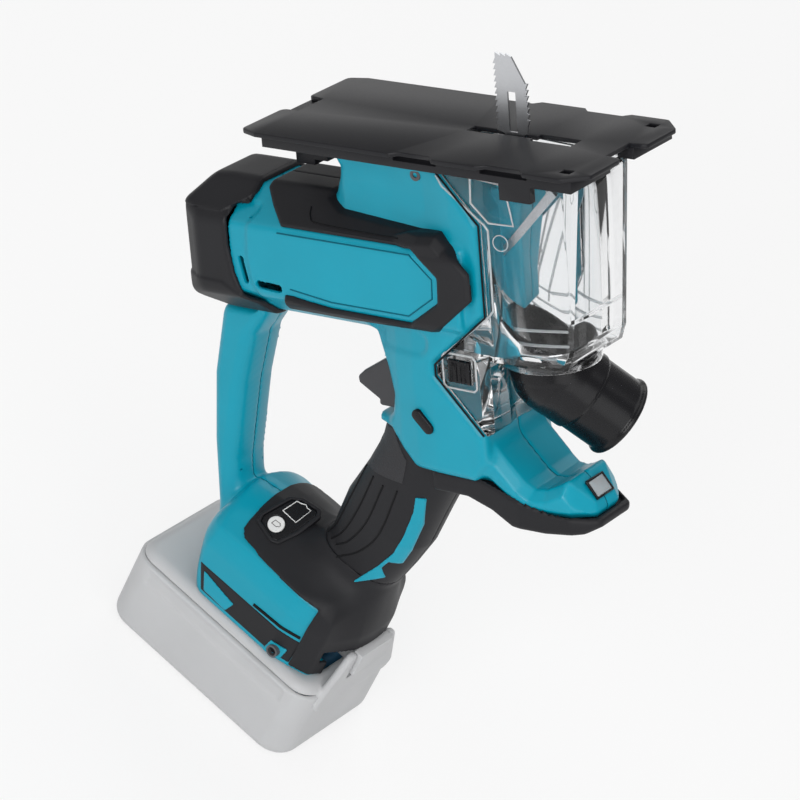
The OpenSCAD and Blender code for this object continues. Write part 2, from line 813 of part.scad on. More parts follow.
module beak_bumper() {
    color("#2a2a2c") difference() {
        in_head() intersection() {
            slab(side(bumper_shares), beak_w);
            translate([0, 0, -body_h]) linear_extrude(body_h)
                polygon(rounded(both_sides(sized(beak_plan_shares, bumper_long_share * body_l,
                    beak_w / 2, body_l))));
        }
        in_head() {
            head_solid(0);
            beak_solid(0);
        }
        grip_column(-rubber_t, grip_cut);
        screw_places() rod_y(boss_d, -foot_w, foot_w);
    }
}
module foot_cover() {
    color("#2a2a2c") difference() {
        intersection() {
            foot_solid(-rubber_t);
            translate([foot_x, 0, foot_z]) slab(sized(foot_cover_shares, foot_l, foot_h, foot_h),
                2 * foot_w);
            translate([0, 0, foot_z]) linear_extrude(2 * foot_h) square(4 * foot_l, center = true);
        }
        foot_solid(0);
        grip_column(0, grip_cut);
        in_head() bar_solid(-gap);
        gauge_place() box(-gauge_l / 2 - run, gauge_l / 2 + run, gauge_w + 2 * run, -gauge_t - over,
            2 * gauge_t);
        box(slot_x, slot_x + 2 * foot_l, 2 * (rail_half + gap), foot_z - over, rail_top + gap);
        screw_places() rod_y(screw_head_d + 2 * gap, screw_seat, foot_w);
        translate([hook_insert_x, 0, hook_insert_z]) rod_y(hook_insert_d, -foot_w, 0);
    }
}

// Battery gauge and its check button on the foot's near shoulder
module gauge_panel() {
    color("#151517") gauge_place() difference() {
        box(-gauge_l / 2, gauge_l / 2, gauge_w, -gauge_t, gauge_t / 2);
        translate([0, check_in_share * gauge_w, gauge_t / 2 - check_t]) cylinder(d = check_d + 2 * gap,
            h = gauge_t);
    }
}
module check_button() {
    color("#e8e8e8") gauge_place() translate([0, check_in_share * gauge_w, gauge_t / 2 - check_t + gap])
        cylinder(d = check_d, h = check_t);
}

// Controls
module trigger() {
    color("#3a3a3d") in_head() slab(side(trigger_shares), trigger_w);
}
module trigger_spring() {
    color("#b9bcc0") in_head() translate([trigger_x_share * body_l, 0,
        spring_z_share * body_h]) rotate([0, 90, 0])
        coil_spring(spring_d / 2, switch_x - trigger_x_share * body_l, spring_turns);
}
module switch_body() {
    color("#1e1e20") in_head() difference() {
        box(switch_x, switch_x + switch_l, switch_w, switch_z - switch_h / 2, switch_z + switch_h / 2);
        lock_pill(gap);
    }
}
module lock_button() {
    color("#1a1a1c") in_head() lock_pill(0);
}
module lamp_lens() {
    color([0.9, 0.95, 1, 0.6]) in_head() lens_place() cube([lens_h, lens_l, lens_t], center = true);
}
module lamp_board() {
    color("#2f6b3a") in_head() lens_place() translate([0, 0, -lens_t / 2 - board_t / 2])
        cube([lens_h, lens_l, board_t], center = true);
}
module hook_insert() {
    color("#c8a24a") translate([hook_insert_x, 0, hook_insert_z]) difference() {
        rod_y(hook_insert_d, -foot_w / 2, -foot_w / 2 + hook_insert_l);
        rod_y(hook_bore_d, -foot_w, 0);
    }
}

// Base plate, its plastic frame and guide posts
module plate_outline() {
    half = plate_w / 2;
    polygon(rounded(both_sides([
        [notch_l, notch_w / 2, 0], [0, notch_w / 2, plate_r], [0, half - plate_bevel / 3, plate_r],
        [plate_bevel, half, plate_r],
        for (r = recess_places_shares) each [
            [r[0] * plate_l, half, 0], [r[0] * plate_l + recess_d, half - recess_d, 0],
            [r[1] * plate_l - recess_d, half - recess_d, 0], [r[1] * plate_l, half, 0]
        ],
        [plate_l - plate_bevel, half, plate_r], [plate_l, half - plate_bevel, plate_r],
        [plate_l, notch_w / 2, plate_r], [plate_l - notch_l, notch_w / 2, 0]
    ])));
}
module base_plate() {
    color("#2b2b2f") in_head() difference() {
        translate([0, 0, -plate_t]) linear_extrude(plate_t) mirror([0, 1, 0]) plate_outline();
        box(rod_x - blade_w / 2 - slot_room, rod_x + blade_w / 2 + slot_room, slot_w, -plate_t - over,
            over);
        for (w = window_places_shares) box(w[0] * plate_l, w[1] * plate_l, 2 * w[2], -plate_t - over, over);
        for (s = [-1, 1]) translate([plate_l - corner_hole_in, s * (plate_w / 2 - corner_hole_in), 0])
            box(-corner_hole_l, 0, corner_hole_w, -plate_t - over, over);
    }
}
module plate_frame() {
    x0 = frame_rear_share * plate_l;
    x1 = frame_front_share * plate_l;
    w = plate_w - 2 * frame_in;
    color("#222225") in_head() {
        difference() {
            box(x0, x1, w, frame_low, -plate_t);
            box(frame_hole_share * plate_l, x1 - frame_rim, w - 4 * frame_rim / 2, frame_low - over,
                -plate_t + over);
            for (r = recess_places_shares, s = [-1, 1])
                translate([0, s * w / 2, 0]) box(r[0] * plate_l, r[1] * plate_l, 2 * recess_d,
                    -plate_t - gap_h, over);
            box(x1 - notch_l, x1 + over, notch_w, frame_low - over, over);
            post_sleeves(post_d, -frame_low);
        }
        box(0, x0, tongue_w, frame_low, -plate_t);
        box(0, leg_flange_l, leg_w, frame_low - leg_h + leg_flange_t, frame_low - leg_h + 3 * leg_flange_t);
        box(0, leg_l, leg_w, frame_low - leg_h, frame_low);
        for (s = [-1, 1]) translate([hook_x_share * plate_l, s * (w / 2 - hook_w / 2), 0])
            box(0, hook_l, hook_w, frame_low - hook_h, frame_low);
    }
}
module guide_posts() {
    color("#b9bcc0") in_head() for (s = post_places_shares)
        translate([s * body_l, 0, -plate_t - post_l]) cylinder(d = post_d, h = post_l);
}
module depth_screw() {
    color("#77797d") in_head() translate([post_places_shares[1] * body_l, 0, depth_screw_z_share * body_h])
        difference() {
            rod_y(depth_screw_d, -head_w / 2 + wall, -post_d / 2 - run);
            rotate([90, 0, 0]) cylinder(d = depth_screw_d / 2, h = 2 * (head_w / 2 - 2 * wall), $fn = 6);
            translate([0, wall - post_d, 0]) rod_y(depth_screw_d / 2 + over, 0, post_d);
        }
}

// Blade: teeth on both edges and the tip, slotted shank
module tooth_edge(n, h) {
    for (i = [0 : n - 1]) polygon([[i * tooth_pitch, 0], [(i + 1) * tooth_pitch, 0], [i * tooth_pitch, h]]);
}
module blade() {
    body_half = blade_w / 2 - tooth_h;
    shoulder = blade_up * blade_shoulder_share;
    low = clamp_top - clamp_h + over;
    edge_n = floor((blade_up - tooth_pitch) / tooth_pitch);
    right_n = floor((blade_up - shoulder) / tooth_pitch);
    tip_n = floor((2 * body_half - shank_w / 2) / tooth_pitch);
    color("#c9ccd1") in_head() translate([rod_x, 0, 0]) rotate([90, 0, 0]) linear_extrude(blade_t,
        center = true)
        difference() {
            union() {
                polygon([
                    [-shank_w / 2, low], [shank_w / 2, low], [shank_w / 2, 0], [body_half, over],
                    [body_half, blade_up - shoulder], [body_half - shoulder * blade_lean,
                        blade_up - tooth_h],
                    [-body_half, blade_up - tooth_h], [-body_half, over], [-shank_w / 2, 0]
                ]);
                translate([-body_half, over]) rotate(90) tooth_edge(edge_n, tooth_h);
                translate([body_half, blade_up - shoulder]) rotate(-90) tooth_edge(right_n - 1, tooth_h);
                translate([-body_half, blade_up - tooth_h]) tooth_edge(tip_n, tooth_h);
            }
            translate([-window_w / 2, over]) square([window_w, blade_up * window_share]);
            translate([0, clamp_top - clamp_h / 2]) circle(d = clamp_screw_d + 2 * gap);
        }
}
module blade_clamp() {
    color("#8b8e93") in_head() translate([rod_x, 0, 0]) difference() {
        box(-clamp_l / 2, clamp_l / 2, clamp_w, rod_top, clamp_top);
        box(-clamp_l, clamp_l, blade_t + 2 * run, rod_top + over, clamp_top + over);
        translate([0, 0, clamp_top - clamp_h / 2]) rod_y(clamp_screw_d + 2 * run, -clamp_w, clamp_w);
    }
}
module clamp_screw() {
    color("#4a4c50") in_head() translate([rod_x, 0, clamp_top - clamp_h / 2]) difference() {
        union() {
            rod_y(clamp_screw_d, -clamp_w / 2, clamp_w / 2);
            rod_y(clamp_head_d, -clamp_w / 2 - clamp_head_t, -clamp_w / 2);
        }
        translate([0, -clamp_w / 2 - clamp_head_t / 2, 0]) rotate([90, 0, 0])
            cylinder(d = clamp_screw_d, h = clamp_head_t, $fn = 6);
    }
}
module plunger() {
    outer_x = yoke_slot_x + yoke_rim;
    outer_z = yoke_slot_z + yoke_rim;
    color("#a4a7ac") in_head() {
        translate([rod_x, 0, rod_low]) cylinder(d = rod_d, h = rod_top - rod_low);
        on_axis() {
            difference() {
                box(crank_x - outer_x, crank_x + outer_x, yoke_t, -outer_z, outer_z + over);
                box(crank_x - yoke_slot_x, crank_x + yoke_slot_x, 2 * yoke_t, -yoke_slot_z, yoke_slot_z);
            }
            box(crank_x + outer_x - over, rod_x, arm_t, arm_rise - arm_h / 2, arm_rise + arm_h / 2);
        }
    }
}
module bush(z) {
    color("#b08a3c") in_head() translate([rod_x, 0, z]) difference() {
        cylinder(d = bush_d, h = bush_h);
        translate([0, 0, -over]) cylinder(d = rod_d + 2 * run, h = bush_h + 2 * over);
    }
}
module upper_bush() {
    bush(tower_top - bush_h);
}
module lower_bush() {
    bush(tower_low);
}

// Crown gear with its crank pin, on a stub shaft across the gear case
module crown_gear() {
    color("#8d8f94") in_head() on_axis() translate([crank_x, 0, 0]) {
        disc = crown_face + crown_tooth_h;
        difference() {
            union() {
                rod_y(2 * crown_r, disc, disc + crown_t);
                rod_y(2 * hub_r, disc, shaft_boss_in - gap);
                for (i = [0 : crown_n - 1]) rotate([0, 360 * i / crown_n, 0])
                    translate([crown_tooth_in, crown_face, -crown_tooth_t / 2])
                        cube([crown_r - crown_tooth_in - gap, 2 * crown_tooth_h, crown_tooth_t]);
                translate([stroke / 2, 0, 0]) rod_y(crank_pin_d, disc - crank_pin_l, disc + crown_t / 2);
            }
            rod_y(gear_shaft_d, disc + crown_t / 2, case_w);
        }
    }
}
module gear_shaft() {
    color("#c4c7cb") in_head() on_axis() translate([crank_x, 0, 0])
        rod_y(gear_shaft_d, crown_face + crown_tooth_h + crown_t / 2, case_w / 2);
}
module gear_case() {
    color("#b4b7ba") in_head() difference() {
        union() {
            difference() {
                case_block(0);
                intersection() {
                    on_axis() box(case_x + case_back, case_x + case_l - case_wall, case_w - 2 * case_wall,
                        -case_h / 2 + case_wall, case_h / 2 - case_wall);
                    slab(shrink(side(trim_shares), wall + gap + case_wall), 2 * barrel_w);
                }
            }
            on_axis() translate([crank_x, 0, 0]) rod_y(2 * shaft_boss_r, shaft_boss_in, case_w / 2);
        }
        on_axis() {
            translate([crank_x, 0, 0]) rod_y(gear_shaft_d + 2 * run, shaft_boss_in - over, case_w);
            rod_x_axis(front_bearing_d + 2 * run, case_x - over, case_x + bearing_w);
            rod_x_axis(shaft_d + 2 * over, case_x + over, case_x + case_back + over);
            box(case_x + case_back + over, case_x + case_l + over, arm_t + 2 * over,
                arm_rise - arm_h / 2 - stroke / 2 - over, arm_rise + arm_h / 2 + stroke / 2 + over);
        }
    }
}
module pinion() {
    root = pinion_r * pinion_root_share;
    step = 360 / pinion_n;
    color("#9a9ca0") in_head() on_axis() difference() {
        translate([pinion_end - pinion_l, 0, 0]) rotate([90, 0, 90]) linear_extrude(pinion_l) polygon([
            for (i = [0 : pinion_n - 1], k = [0 : 3])
                (k < 2 ? root : pinion_r) * [cos(step * (i + (k + 0.2) / 4)),
                    sin(step * (i + (k + 0.2) / 4))]
        ]);
        rod_x_axis(shaft_d, pinion_end - pinion_l - over, pinion_end + over);
    }
}

// Motor
module armature() {
    color("#8a5a34") in_head() on_axis() {
        rod_x_axis(shaft_d, motor_x + can_plate - bearing_w + run, pinion_end);
        rod_x_axis(core_d, core_x, core_x + core_l);
        rod_x_axis(commutator_d, commutator_x, commutator_x + commutator_l);
    }
}
module fan() {
    color("#2a2a2c") in_head() on_axis() difference() {
        union() {
            rod_x_axis(fan_d, fan_x + fan_t - fan_blade_t, fan_x + fan_t);
            rod_x_axis(fan_hub_d, fan_x, fan_x + fan_t);
            for (i = [0 : fan_blades - 1]) rotate([360 * i / fan_blades, 0, 0])
                translate([fan_x + gap, -fan_blade_t / 2, shaft_d / 2 + over])
                    cube([fan_t - fan_blade_t / 2 - gap, fan_blade_t,
                        fan_d / 2 - shaft_d / 2 - over - fan_blade_t]);
        }
        rod_x_axis(shaft_d, fan_x - over, fan_x + fan_t + over);
    }
}
module motor_can() {
    color("#6b6e73") in_head() on_axis() difference() {
        rod_x_axis(motor_d, motor_x, motor_end);
        rod_x_axis(motor_d - 2 * can_wall, motor_x + can_plate, motor_end + over);
        rod_x_axis(rear_bearing_d + 2 * run, motor_x + can_plate - bearing_w, motor_end);
    }
}
module magnets() {
    x0 = core_x + core_l / 2 - magnet_l / 2;
    color("#3c3d41") in_head() on_axis() difference() {
        rod_x_axis(motor_d - 2 * can_wall, x0, x0 + magnet_l);
        rod_x_axis(magnet_in, x0 - over, x0 + magnet_l + over);
        box(x0 - over, x0 + magnet_l + over, magnet_split, -motor_d, motor_d);
    }
}
module brushes() {
    inner = commutator_d / 2 + brush_gap;
    color("#2c2c2c") in_head() on_axis() for (s = [-1, 1]) mirror([0, s < 0 ? 1 : 0, 0])
        translate([commutator_x + over, inner, -brush_h / 2])
            cube([brush_w, motor_d / 2 - can_wall - inner - gap, brush_h]);
}
module bearing(x, d) {
    color("#c4c7cb") in_head() on_axis() difference() {
        rod_x_axis(d, x, x + bearing_w);
        rod_x_axis(shaft_d + 2 * run, x - over, x + bearing_w + over);
    }
}
module front_bearing() {
    bearing(case_x, front_bearing_d);
}
module rear_bearing() {
    bearing(motor_x + can_plate - bearing_w, rear_bearing_d);
}

// Electrics in the foot
module terminal_block() {
    x0 = foot_x + block_x_share * foot_l;
    x1 = x0 + block_l_share * foot_l;
    color("#1b1b1d") {
        difference() {
            box(x0, x1, foot_w - 2 * foot_wall - 2 * run, rail_top + gap + run, rail_top + gap + block_h);
            screw_places() rod_y(boss_d + 2 * run, -foot_w, foot_w);
        }
        for (s = [-1, 1]) translate([0, s * contact_half, 0])
            box(x0 + over, x0 + over + contact_l, contact_t, rail_top + gap - contact_drop,
                rail_top + gap + 2 * run);
    }
}
module control_board() {
    x0 = foot_x + block_x_share * foot_l;
    x1 = x0 + block_l_share * foot_l;
    z = rail_top + gap + block_h;
    color("#2f6b3a") box(x0 + over, x1 - over, foot_w / 2, z, z + board_t);
}

// Dust box: clear shell that plugs onto the head, open to it and to the plate
function box_outline() =
    let (h = side(head_shares), s = side(box_shares))
    concat([for (i = [0 : len(s) - 1]) s[i]], [for (i = [8 : -1 : 4]) h[i]]);
module box_plan(d) {
    translate([0, 0, -body_h]) linear_extrude(2 * body_h)
        polygon(rounded(shrink(both_sides(sized(box_plan_shares, body_l, box_w / 2, body_l)), d)));
}
module dust_box() {
    sweep_h = (nozzle_d / 2 + 2 * gap) / cos(nozzle_fall);
    color([0.85, 0.9, 0.95, 0.4]) in_head() {
        difference() {
            union() {
                intersection() {
                    slab(box_outline(), box_w);
                    box_plan(0);
                }
                translate([outlet_x, 0, floor_z - flange_h]) difference() {
                    cylinder(d = nozzle_d + 2 * gap + 2 * flange_wall, h = flange_h);
                    translate([0, 0, -joint_drop]) cylinder(r1 = sweep_h / tan(nozzle_fall), r2 = 0,
                        h = sweep_h);
                }
            }
            head_solid(-gap);
            beak_solid(-gap);
            intersection() {
                union() {
                    slab(side(room_shares), box_w - 2 * box_wall);
                    slab(side(pocket_shares), box_w - 2 * box_wall);
                }
                box_plan(box_wall);
            }
            translate([outlet_x, 0, floor_z - flange_h - over]) cylinder(d = nozzle_d + 2 * gap,
                h = flange_h + 4 * box_wall);
            translate([outlet_x, 0, floor_z - flange_h - nozzle_d]) cylinder(d = nozzle_d + 2 * over,
                h = nozzle_d);
            translate([latch_x_share * body_l, -box_w / 2, latch_z_share * body_h])
                cube([latch_l + 2 * gap, 2 * latch_t, latch_h + 2 * gap], center = true);
        }
    }
}
module box_latch() {
    color("#1c1c1e") in_head() translate([latch_x_share * body_l, -box_w / 2 - latch_proud,
        latch_z_share * body_h]) {
        translate([-latch_l / 2, 0, -latch_h / 2]) cube([latch_l, latch_t, latch_h]);
        for (i = [0 : latch_ribs - 1])
            translate([-latch_l / 2 + (i + 1) * latch_l / (latch_ribs + 1) - latch_rib / 2, -latch_rib,
                -latch_h / 2 + latch_rib])
                cube([latch_rib, 2 * latch_rib, latch_h - 2 * latch_rib]);
    }
}
module nozzle_form(d) {
    joint_z = floor_z - flange_h - joint_drop;
    translate([outlet_x, 0, joint_z]) {
        cylinder(d = d, h = floor_z - joint_z + collar_up);
        sphere(d = d + 2 * gap);
        rotate([0, 90 + nozzle_fall, nozzle_turn]) cylinder(d = d, h = outlet_l);
    }
}
module elbow_nozzle() {
    joint_z = floor_z - flange_h - joint_drop;
    color("#222225") in_head() difference() {
        union() {
            nozzle_form(nozzle_d);
            translate([outlet_x, 0, floor_z + box_wall + gap]) cylinder(d = nozzle_d + 2 * collar_lip,
                h = collar_lip_t);
            translate([outlet_x, 0, joint_z]) rotate([0, 90 + nozzle_fall, nozzle_turn]) translate([0, 0,
                outlet_l - lip_l])
                cylinder(d = nozzle_d + 2 * lip_t, h = lip_l);
        }
        nozzle_form(nozzle_d - 2 * nozzle_wall);
        translate([outlet_x, 0, floor_z]) cylinder(d = nozzle_d - 2 * nozzle_wall, h = body_h);
        translate([outlet_x, 0, joint_z]) rotate([0, 90 + nozzle_fall, nozzle_turn])
            cylinder(d = nozzle_d - 2 * nozzle_wall, h = 2 * outlet_l);
        translate([outlet_x, 0, floor_z - flange_h / 2]) difference() {
            cylinder(d = nozzle_d + over, h = seal_h);
            cylinder(d = nozzle_d - 2 * seal_t, h = seal_h);
        }
    }
}
module seal_ring() {
    color("#101012") in_head() translate([outlet_x, 0, floor_z - flange_h / 2]) difference() {
        cylinder(d = nozzle_d, h = seal_h);
        translate([0, 0, -over]) cylinder(d = nozzle_d - 2 * seal_t, h = seal_h + 2 * over);
    }
}
module stays() {
    color("#c9ccd1") in_head() for (s = [-1, 1])
        translate([stay_x_share * body_l, s * (tower_w / 2 + stay_t / 2), stay_z_share * body_h])
            rotate([90, 0, 0]) linear_extrude(stay_t, center = true) rotate(stay_angle)
                polygon([[0, -stay_w / 4], [stay_l, -stay_w / 2], [stay_l, stay_w / 2], [stay_w,
                    stay_w / 2]]);
}
module housing_screws() {
    color("#77797d") screw_places() {
        rod_y(screw_d, screw_seat - screw_l, screw_seat + screw_head_t / 2);
        difference() {
            rod_y(screw_head_d, screw_seat, screw_seat + screw_head_t);
            translate([0, screw_seat + screw_head_t / 2 + over, 0]) cube([screw_head_d / 2, 2 * over,
                over], center = true);
            translate([0, screw_seat + screw_head_t / 2 + over, 0]) cube([over, 2 * over,
                screw_head_d / 2], center = true);
        }
    }
}

// Battery
function pack_plan(d) =
    let (l = pack_l / 2 - d, w = pack_w / 2 - d, r = pack_r - d)
    [[-l, -w, r], [l, -w, r], [l, w, r], [-l, w, r]];
module battery_case() {
    color("#c8c9cb") difference() {
        linear_extrude(pack_low_h) polygon(rounded(pack_plan(0), 6));
        translate([0, 0, pack_floor]) linear_extrude(pack_low_h) polygon(rounded(pack_plan(pack_wall), 6));
    }
}
module battery_cover() {
    color("#d2d3d5") difference() {
        union() {
            translate([0, 0, pack_low_h]) linear_extrude(deck_t) polygon(rounded(pack_plan(0), 6));
            box(rail_x, rail_end, 2 * neck_half, deck_z - over, lip_z + gap + over);
            box(rail_x, rail_end, 2 * rail_half, lip_z + gap, rail_top);
            box(hump_x, hump_x + hump_t, 2 * hump_half, pack_low_h, deck_z + hump_h);
        }
        for (s = [-1, 1]) translate([0, s * contact_half, 0])
            box(rail_x - over, foot_x + block_x_share * foot_l + contact_l + 2 * over, contact_slot,
                rail_top + gap - contact_drop - over, rail_top + over);
        box(rail_end - tooth_l - 2 * gap, hump_x + 2 * hump_t, button_w + 2 * gap, deck_z,
            deck_z + 2 * hump_h);
    }
}
module battery_cells() {
    pitch = cell_d + cell_gap;
    z0 = pack_floor + cell_d / 2 + run;
    color("#3f7fb0") for (i = [0 : cell_rows - 1], k = [0, 1])
        translate([(i - (cell_rows - 1) / 2) * pitch, 0, z0 + k * pitch]) rod_y(cell_d, -cell_l / 2,
            cell_l / 2);
}
module battery_button() {
    x1 = hump_x + hump_t;
    z0 = deck_z + button_reach;
    color("#b8392f") {
        box(x1 - button_t, x1 + button_t / 2, button_w, z0, z0 + button_h - gap);
        box(rail_end - tooth_l - gap + gap / 2, x1 - button_t + over, tooth_w, z0, rail_top - gap);
        box(rail_end - tooth_l - gap / 2, rail_end - gap / 2, tooth_w, z0, rail_top);
    }
}
module latch_spring() {
    color("#b9bcc0") translate([rail_end, 0, deck_z]) coil_spring(spring_d / 2, button_reach, 2);
}

housing_left();
housing_right();
rear_cap();
barrel_pad_left();
barrel_pad_right();
grip_sleeve_left();
grip_sleeve_right();
beak_bumper();
foot_cover();
gauge_panel();
check_button();
trigger();
trigger_spring();
switch_body();
lock_button();
lamp_lens();
lamp_board();
hook_insert();
base_plate();
plate_frame();
guide_posts();
depth_screw();
blade();
blade_clamp();
clamp_screw();
plunger();
upper_bush();
lower_bush();
crown_gear();
gear_shaft();
gear_case();
pinion();
armature();
fan();
motor_can();
magnets();
brushes();
front_bearing();
rear_bearing();
control_board();
terminal_block();
dust_box();
box_latch();
elbow_nozzle();
seal_ring();
stays();
housing_screws();
battery_case();
battery_cover();
battery_cells();
battery_button();
latch_spring();
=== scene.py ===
"""Cordless drywall cut-out tool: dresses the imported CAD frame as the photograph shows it."""
import json
import math

import bmesh
import bpy
import numpy as np
from mathutils import Matrix, Vector

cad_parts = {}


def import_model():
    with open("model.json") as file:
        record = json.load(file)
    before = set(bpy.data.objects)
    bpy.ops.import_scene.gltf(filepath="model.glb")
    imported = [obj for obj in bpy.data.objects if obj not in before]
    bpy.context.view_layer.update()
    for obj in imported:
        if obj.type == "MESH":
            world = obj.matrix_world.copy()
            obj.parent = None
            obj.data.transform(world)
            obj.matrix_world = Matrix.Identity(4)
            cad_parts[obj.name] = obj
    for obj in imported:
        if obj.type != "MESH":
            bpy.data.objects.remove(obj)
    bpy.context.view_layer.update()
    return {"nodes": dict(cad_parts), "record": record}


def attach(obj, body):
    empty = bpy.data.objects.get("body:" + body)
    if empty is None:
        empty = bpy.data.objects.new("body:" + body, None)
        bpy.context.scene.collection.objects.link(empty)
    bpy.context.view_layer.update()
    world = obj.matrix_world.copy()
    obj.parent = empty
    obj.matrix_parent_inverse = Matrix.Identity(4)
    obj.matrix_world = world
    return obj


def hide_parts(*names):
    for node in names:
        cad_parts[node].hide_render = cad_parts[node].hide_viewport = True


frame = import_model()
nodes = frame["nodes"]
MM = 0.001

# The head leans on the battery: in its own frame x runs along the plate, y across and z out of the plate (mm)
TILT = math.radians(32)
COS, SIN = math.cos(TILT), math.sin(TILT)
HEAD_ROT = np.array([[COS, 0, -SIN], [0, 1, 0], [SIN, 0, COS]])
HEAD_AT = np.array([-92, 0, 266])
AXIS_Z = -62.5
WALL = 2.2


def to_row(points):
    """Points of the head's frame, in the row's frame (both mm)."""
    return np.asarray(points, float) @ HEAD_ROT.T + HEAD_AT


def in_head(p):
    """The head's coordinates of a place given in the row's frame."""
    a, b = p[0] - HEAD_AT[0], p[2] - HEAD_AT[2]
    return COS * a + SIN * b, p[1], COS * b - SIN * a


def in_row(h):
    """The row's coordinates of a place given in the head's frame."""
    return COS * h[0] - SIN * h[2] + HEAD_AT[0], h[1], SIN * h[0] + COS * h[2] + HEAD_AT[2]


# Distance fields, negative inside. A place is a triple of coordinate arrays.
class Grid:
    """Places on a regular grid. No layer lies on y = 0, so a mirror pair splits cleanly there."""

    def __init__(self, lo, hi, step, head=False):
        self.step, self.head = step, head
        axes = []
        for a in range(3):
            low = math.floor(lo[a] / step) - 1
            n = math.ceil(hi[a] / step) + 2 - low
            axes.append(((np.arange(n) + low + 0.5) * step).astype(np.float32))
        self.shape = tuple(len(a) for a in axes)
        self.lo = np.array([a[0] for a in axes])
        own = (axes[0][:, None, None], axes[1][None, :, None], axes[2][None, None, :])
        self.row = in_row(own) if head else own
        self.at_head = own if head else in_head(own)


def polygon_field(points, u, v):
    """Signed distance to a closed outline."""
    p = np.asarray([q[:2] for q in points], np.float32)
    best = None
    inside = None
    for i in range(len(p)):
        a, b = p[i - 1], p[i]
        e = b - a
        wu, wv = u - a[0], v - a[1]
        t = np.clip((wu * e[0] + wv * e[1]) / max(float(e @ e), 1e-9), 0, 1)
        d = (wu - e[0] * t) ** 2 + (wv - e[1] * t) ** 2
        best = d if best is None else np.minimum(best, d)
        slope = e[0] / e[1] if abs(e[1]) > 1e-9 else 0
        cross = ((a[1] <= v) != (b[1] <= v)) & (u < a[0] + (v - a[1]) * slope)
        inside = cross if inside is None else inside ^ cross
    return np.where(inside, -1, 1).astype(np.float32) * np.sqrt(best)


def inset(points, r):
    """The outline drawn in by r on every side."""
    p = np.asarray(points, float)
    edge = np.roll(p, -1, 0) - p
    turn = np.sign((p[:, 0] * np.roll(p[:, 1], -1) - np.roll(p[:, 0], -1) * p[:, 1]).sum())
    normal = turn * np.column_stack([-edge[:, 1], edge[:, 0]]) / np.linalg.norm(edge, axis=1)[:, None]
    before = np.roll(normal, 1, 0)
    return p + r * (normal + before) / (1 + (normal * before).sum(1))[:, None]


def eased_field(points, r, u, v):
    """Signed distance to an outline whose outer corners are rounded by r."""
    return polygon_field(inset(points, r), u, v) - r


def meet(r, *fields):
    """Intersection whose edges are rounded by r."""
    out, top = 0, None
    for d in fields:
        out = out + np.maximum(d + r, 0) ** 2
        top = d + r if top is None else np.maximum(top, d + r)
    return np.sqrt(out) + np.minimum(top, 0) - r


def join(a, b, k):
    """Union with a fillet of about k."""
    h = np.clip(0.5 + 0.5 * (b - a) / k, 0, 1)
    return b + (a - b) * h - k * h * (1 - h)


def carve(a, b, k):
    """a without b, the edge softened by about k."""
    return -join(-a, b, k)


def bevelled(a, b, c):
    """Intersection with a flat of about c across its edge."""
    return np.maximum(np.maximum(a, b), (a + b + c) * 0.7071)


def tube(p, a, b, r):
    """Round-ended rod from a to b."""
    a, b = np.asarray(a, float), np.asarray(b, float)
    e = b - a
    w = [p[i] - a[i] for i in range(3)]
    t = np.clip((w[0] * e[0] + w[1] * e[1] + w[2] * e[2]) / max(e @ e, 1e-9), 0, 1)
    return np.sqrt(sum((w[i] - e[i] * t) ** 2 for i in range(3))) - r


def rod(p, a, b, r, edge=0.5):
    """Flat-ended rod from a to b."""
    a, b = np.asarray(a, float), np.asarray(b, float)
    e = (b - a) / np.linalg.norm(b - a)
    w = [p[i] - a[i] for i in range(3)]
    t = w[0] * e[0] + w[1] * e[1] + w[2] * e[2]
    d = np.sqrt(np.maximum(sum(w[i] ** 2 for i in range(3)) - t**2, 0)) - r
    return meet(edge, d, -t, t - np.linalg.norm(b - a))


def block(p, lo, hi, r):
    """Box with edges rounded by r."""
    sides = [np.abs(p[i] - (lo[i] + hi[i]) / 2) - (hi[i] - lo[i]) / 2 for i in range(3)]
    return meet(r, *sides)


def trilinear(d, q):
    """Values of a field between its grid places."""
    i = np.clip(np.floor(q).astype(int), 0, np.array(d.shape) - 2)
    f = q - i
    out = 0
    for a in (0, 1):
        for b in (0, 1):
            for c in (0, 1):
                share = [f[:, k] if bit else 1 - f[:, k] for k, bit in enumerate((a, b, c))]
                out = out + share[0] * share[1] * share[2] * d[i[:, 0] + a, i[:, 1] + b, i[:, 2] + c]
    return out


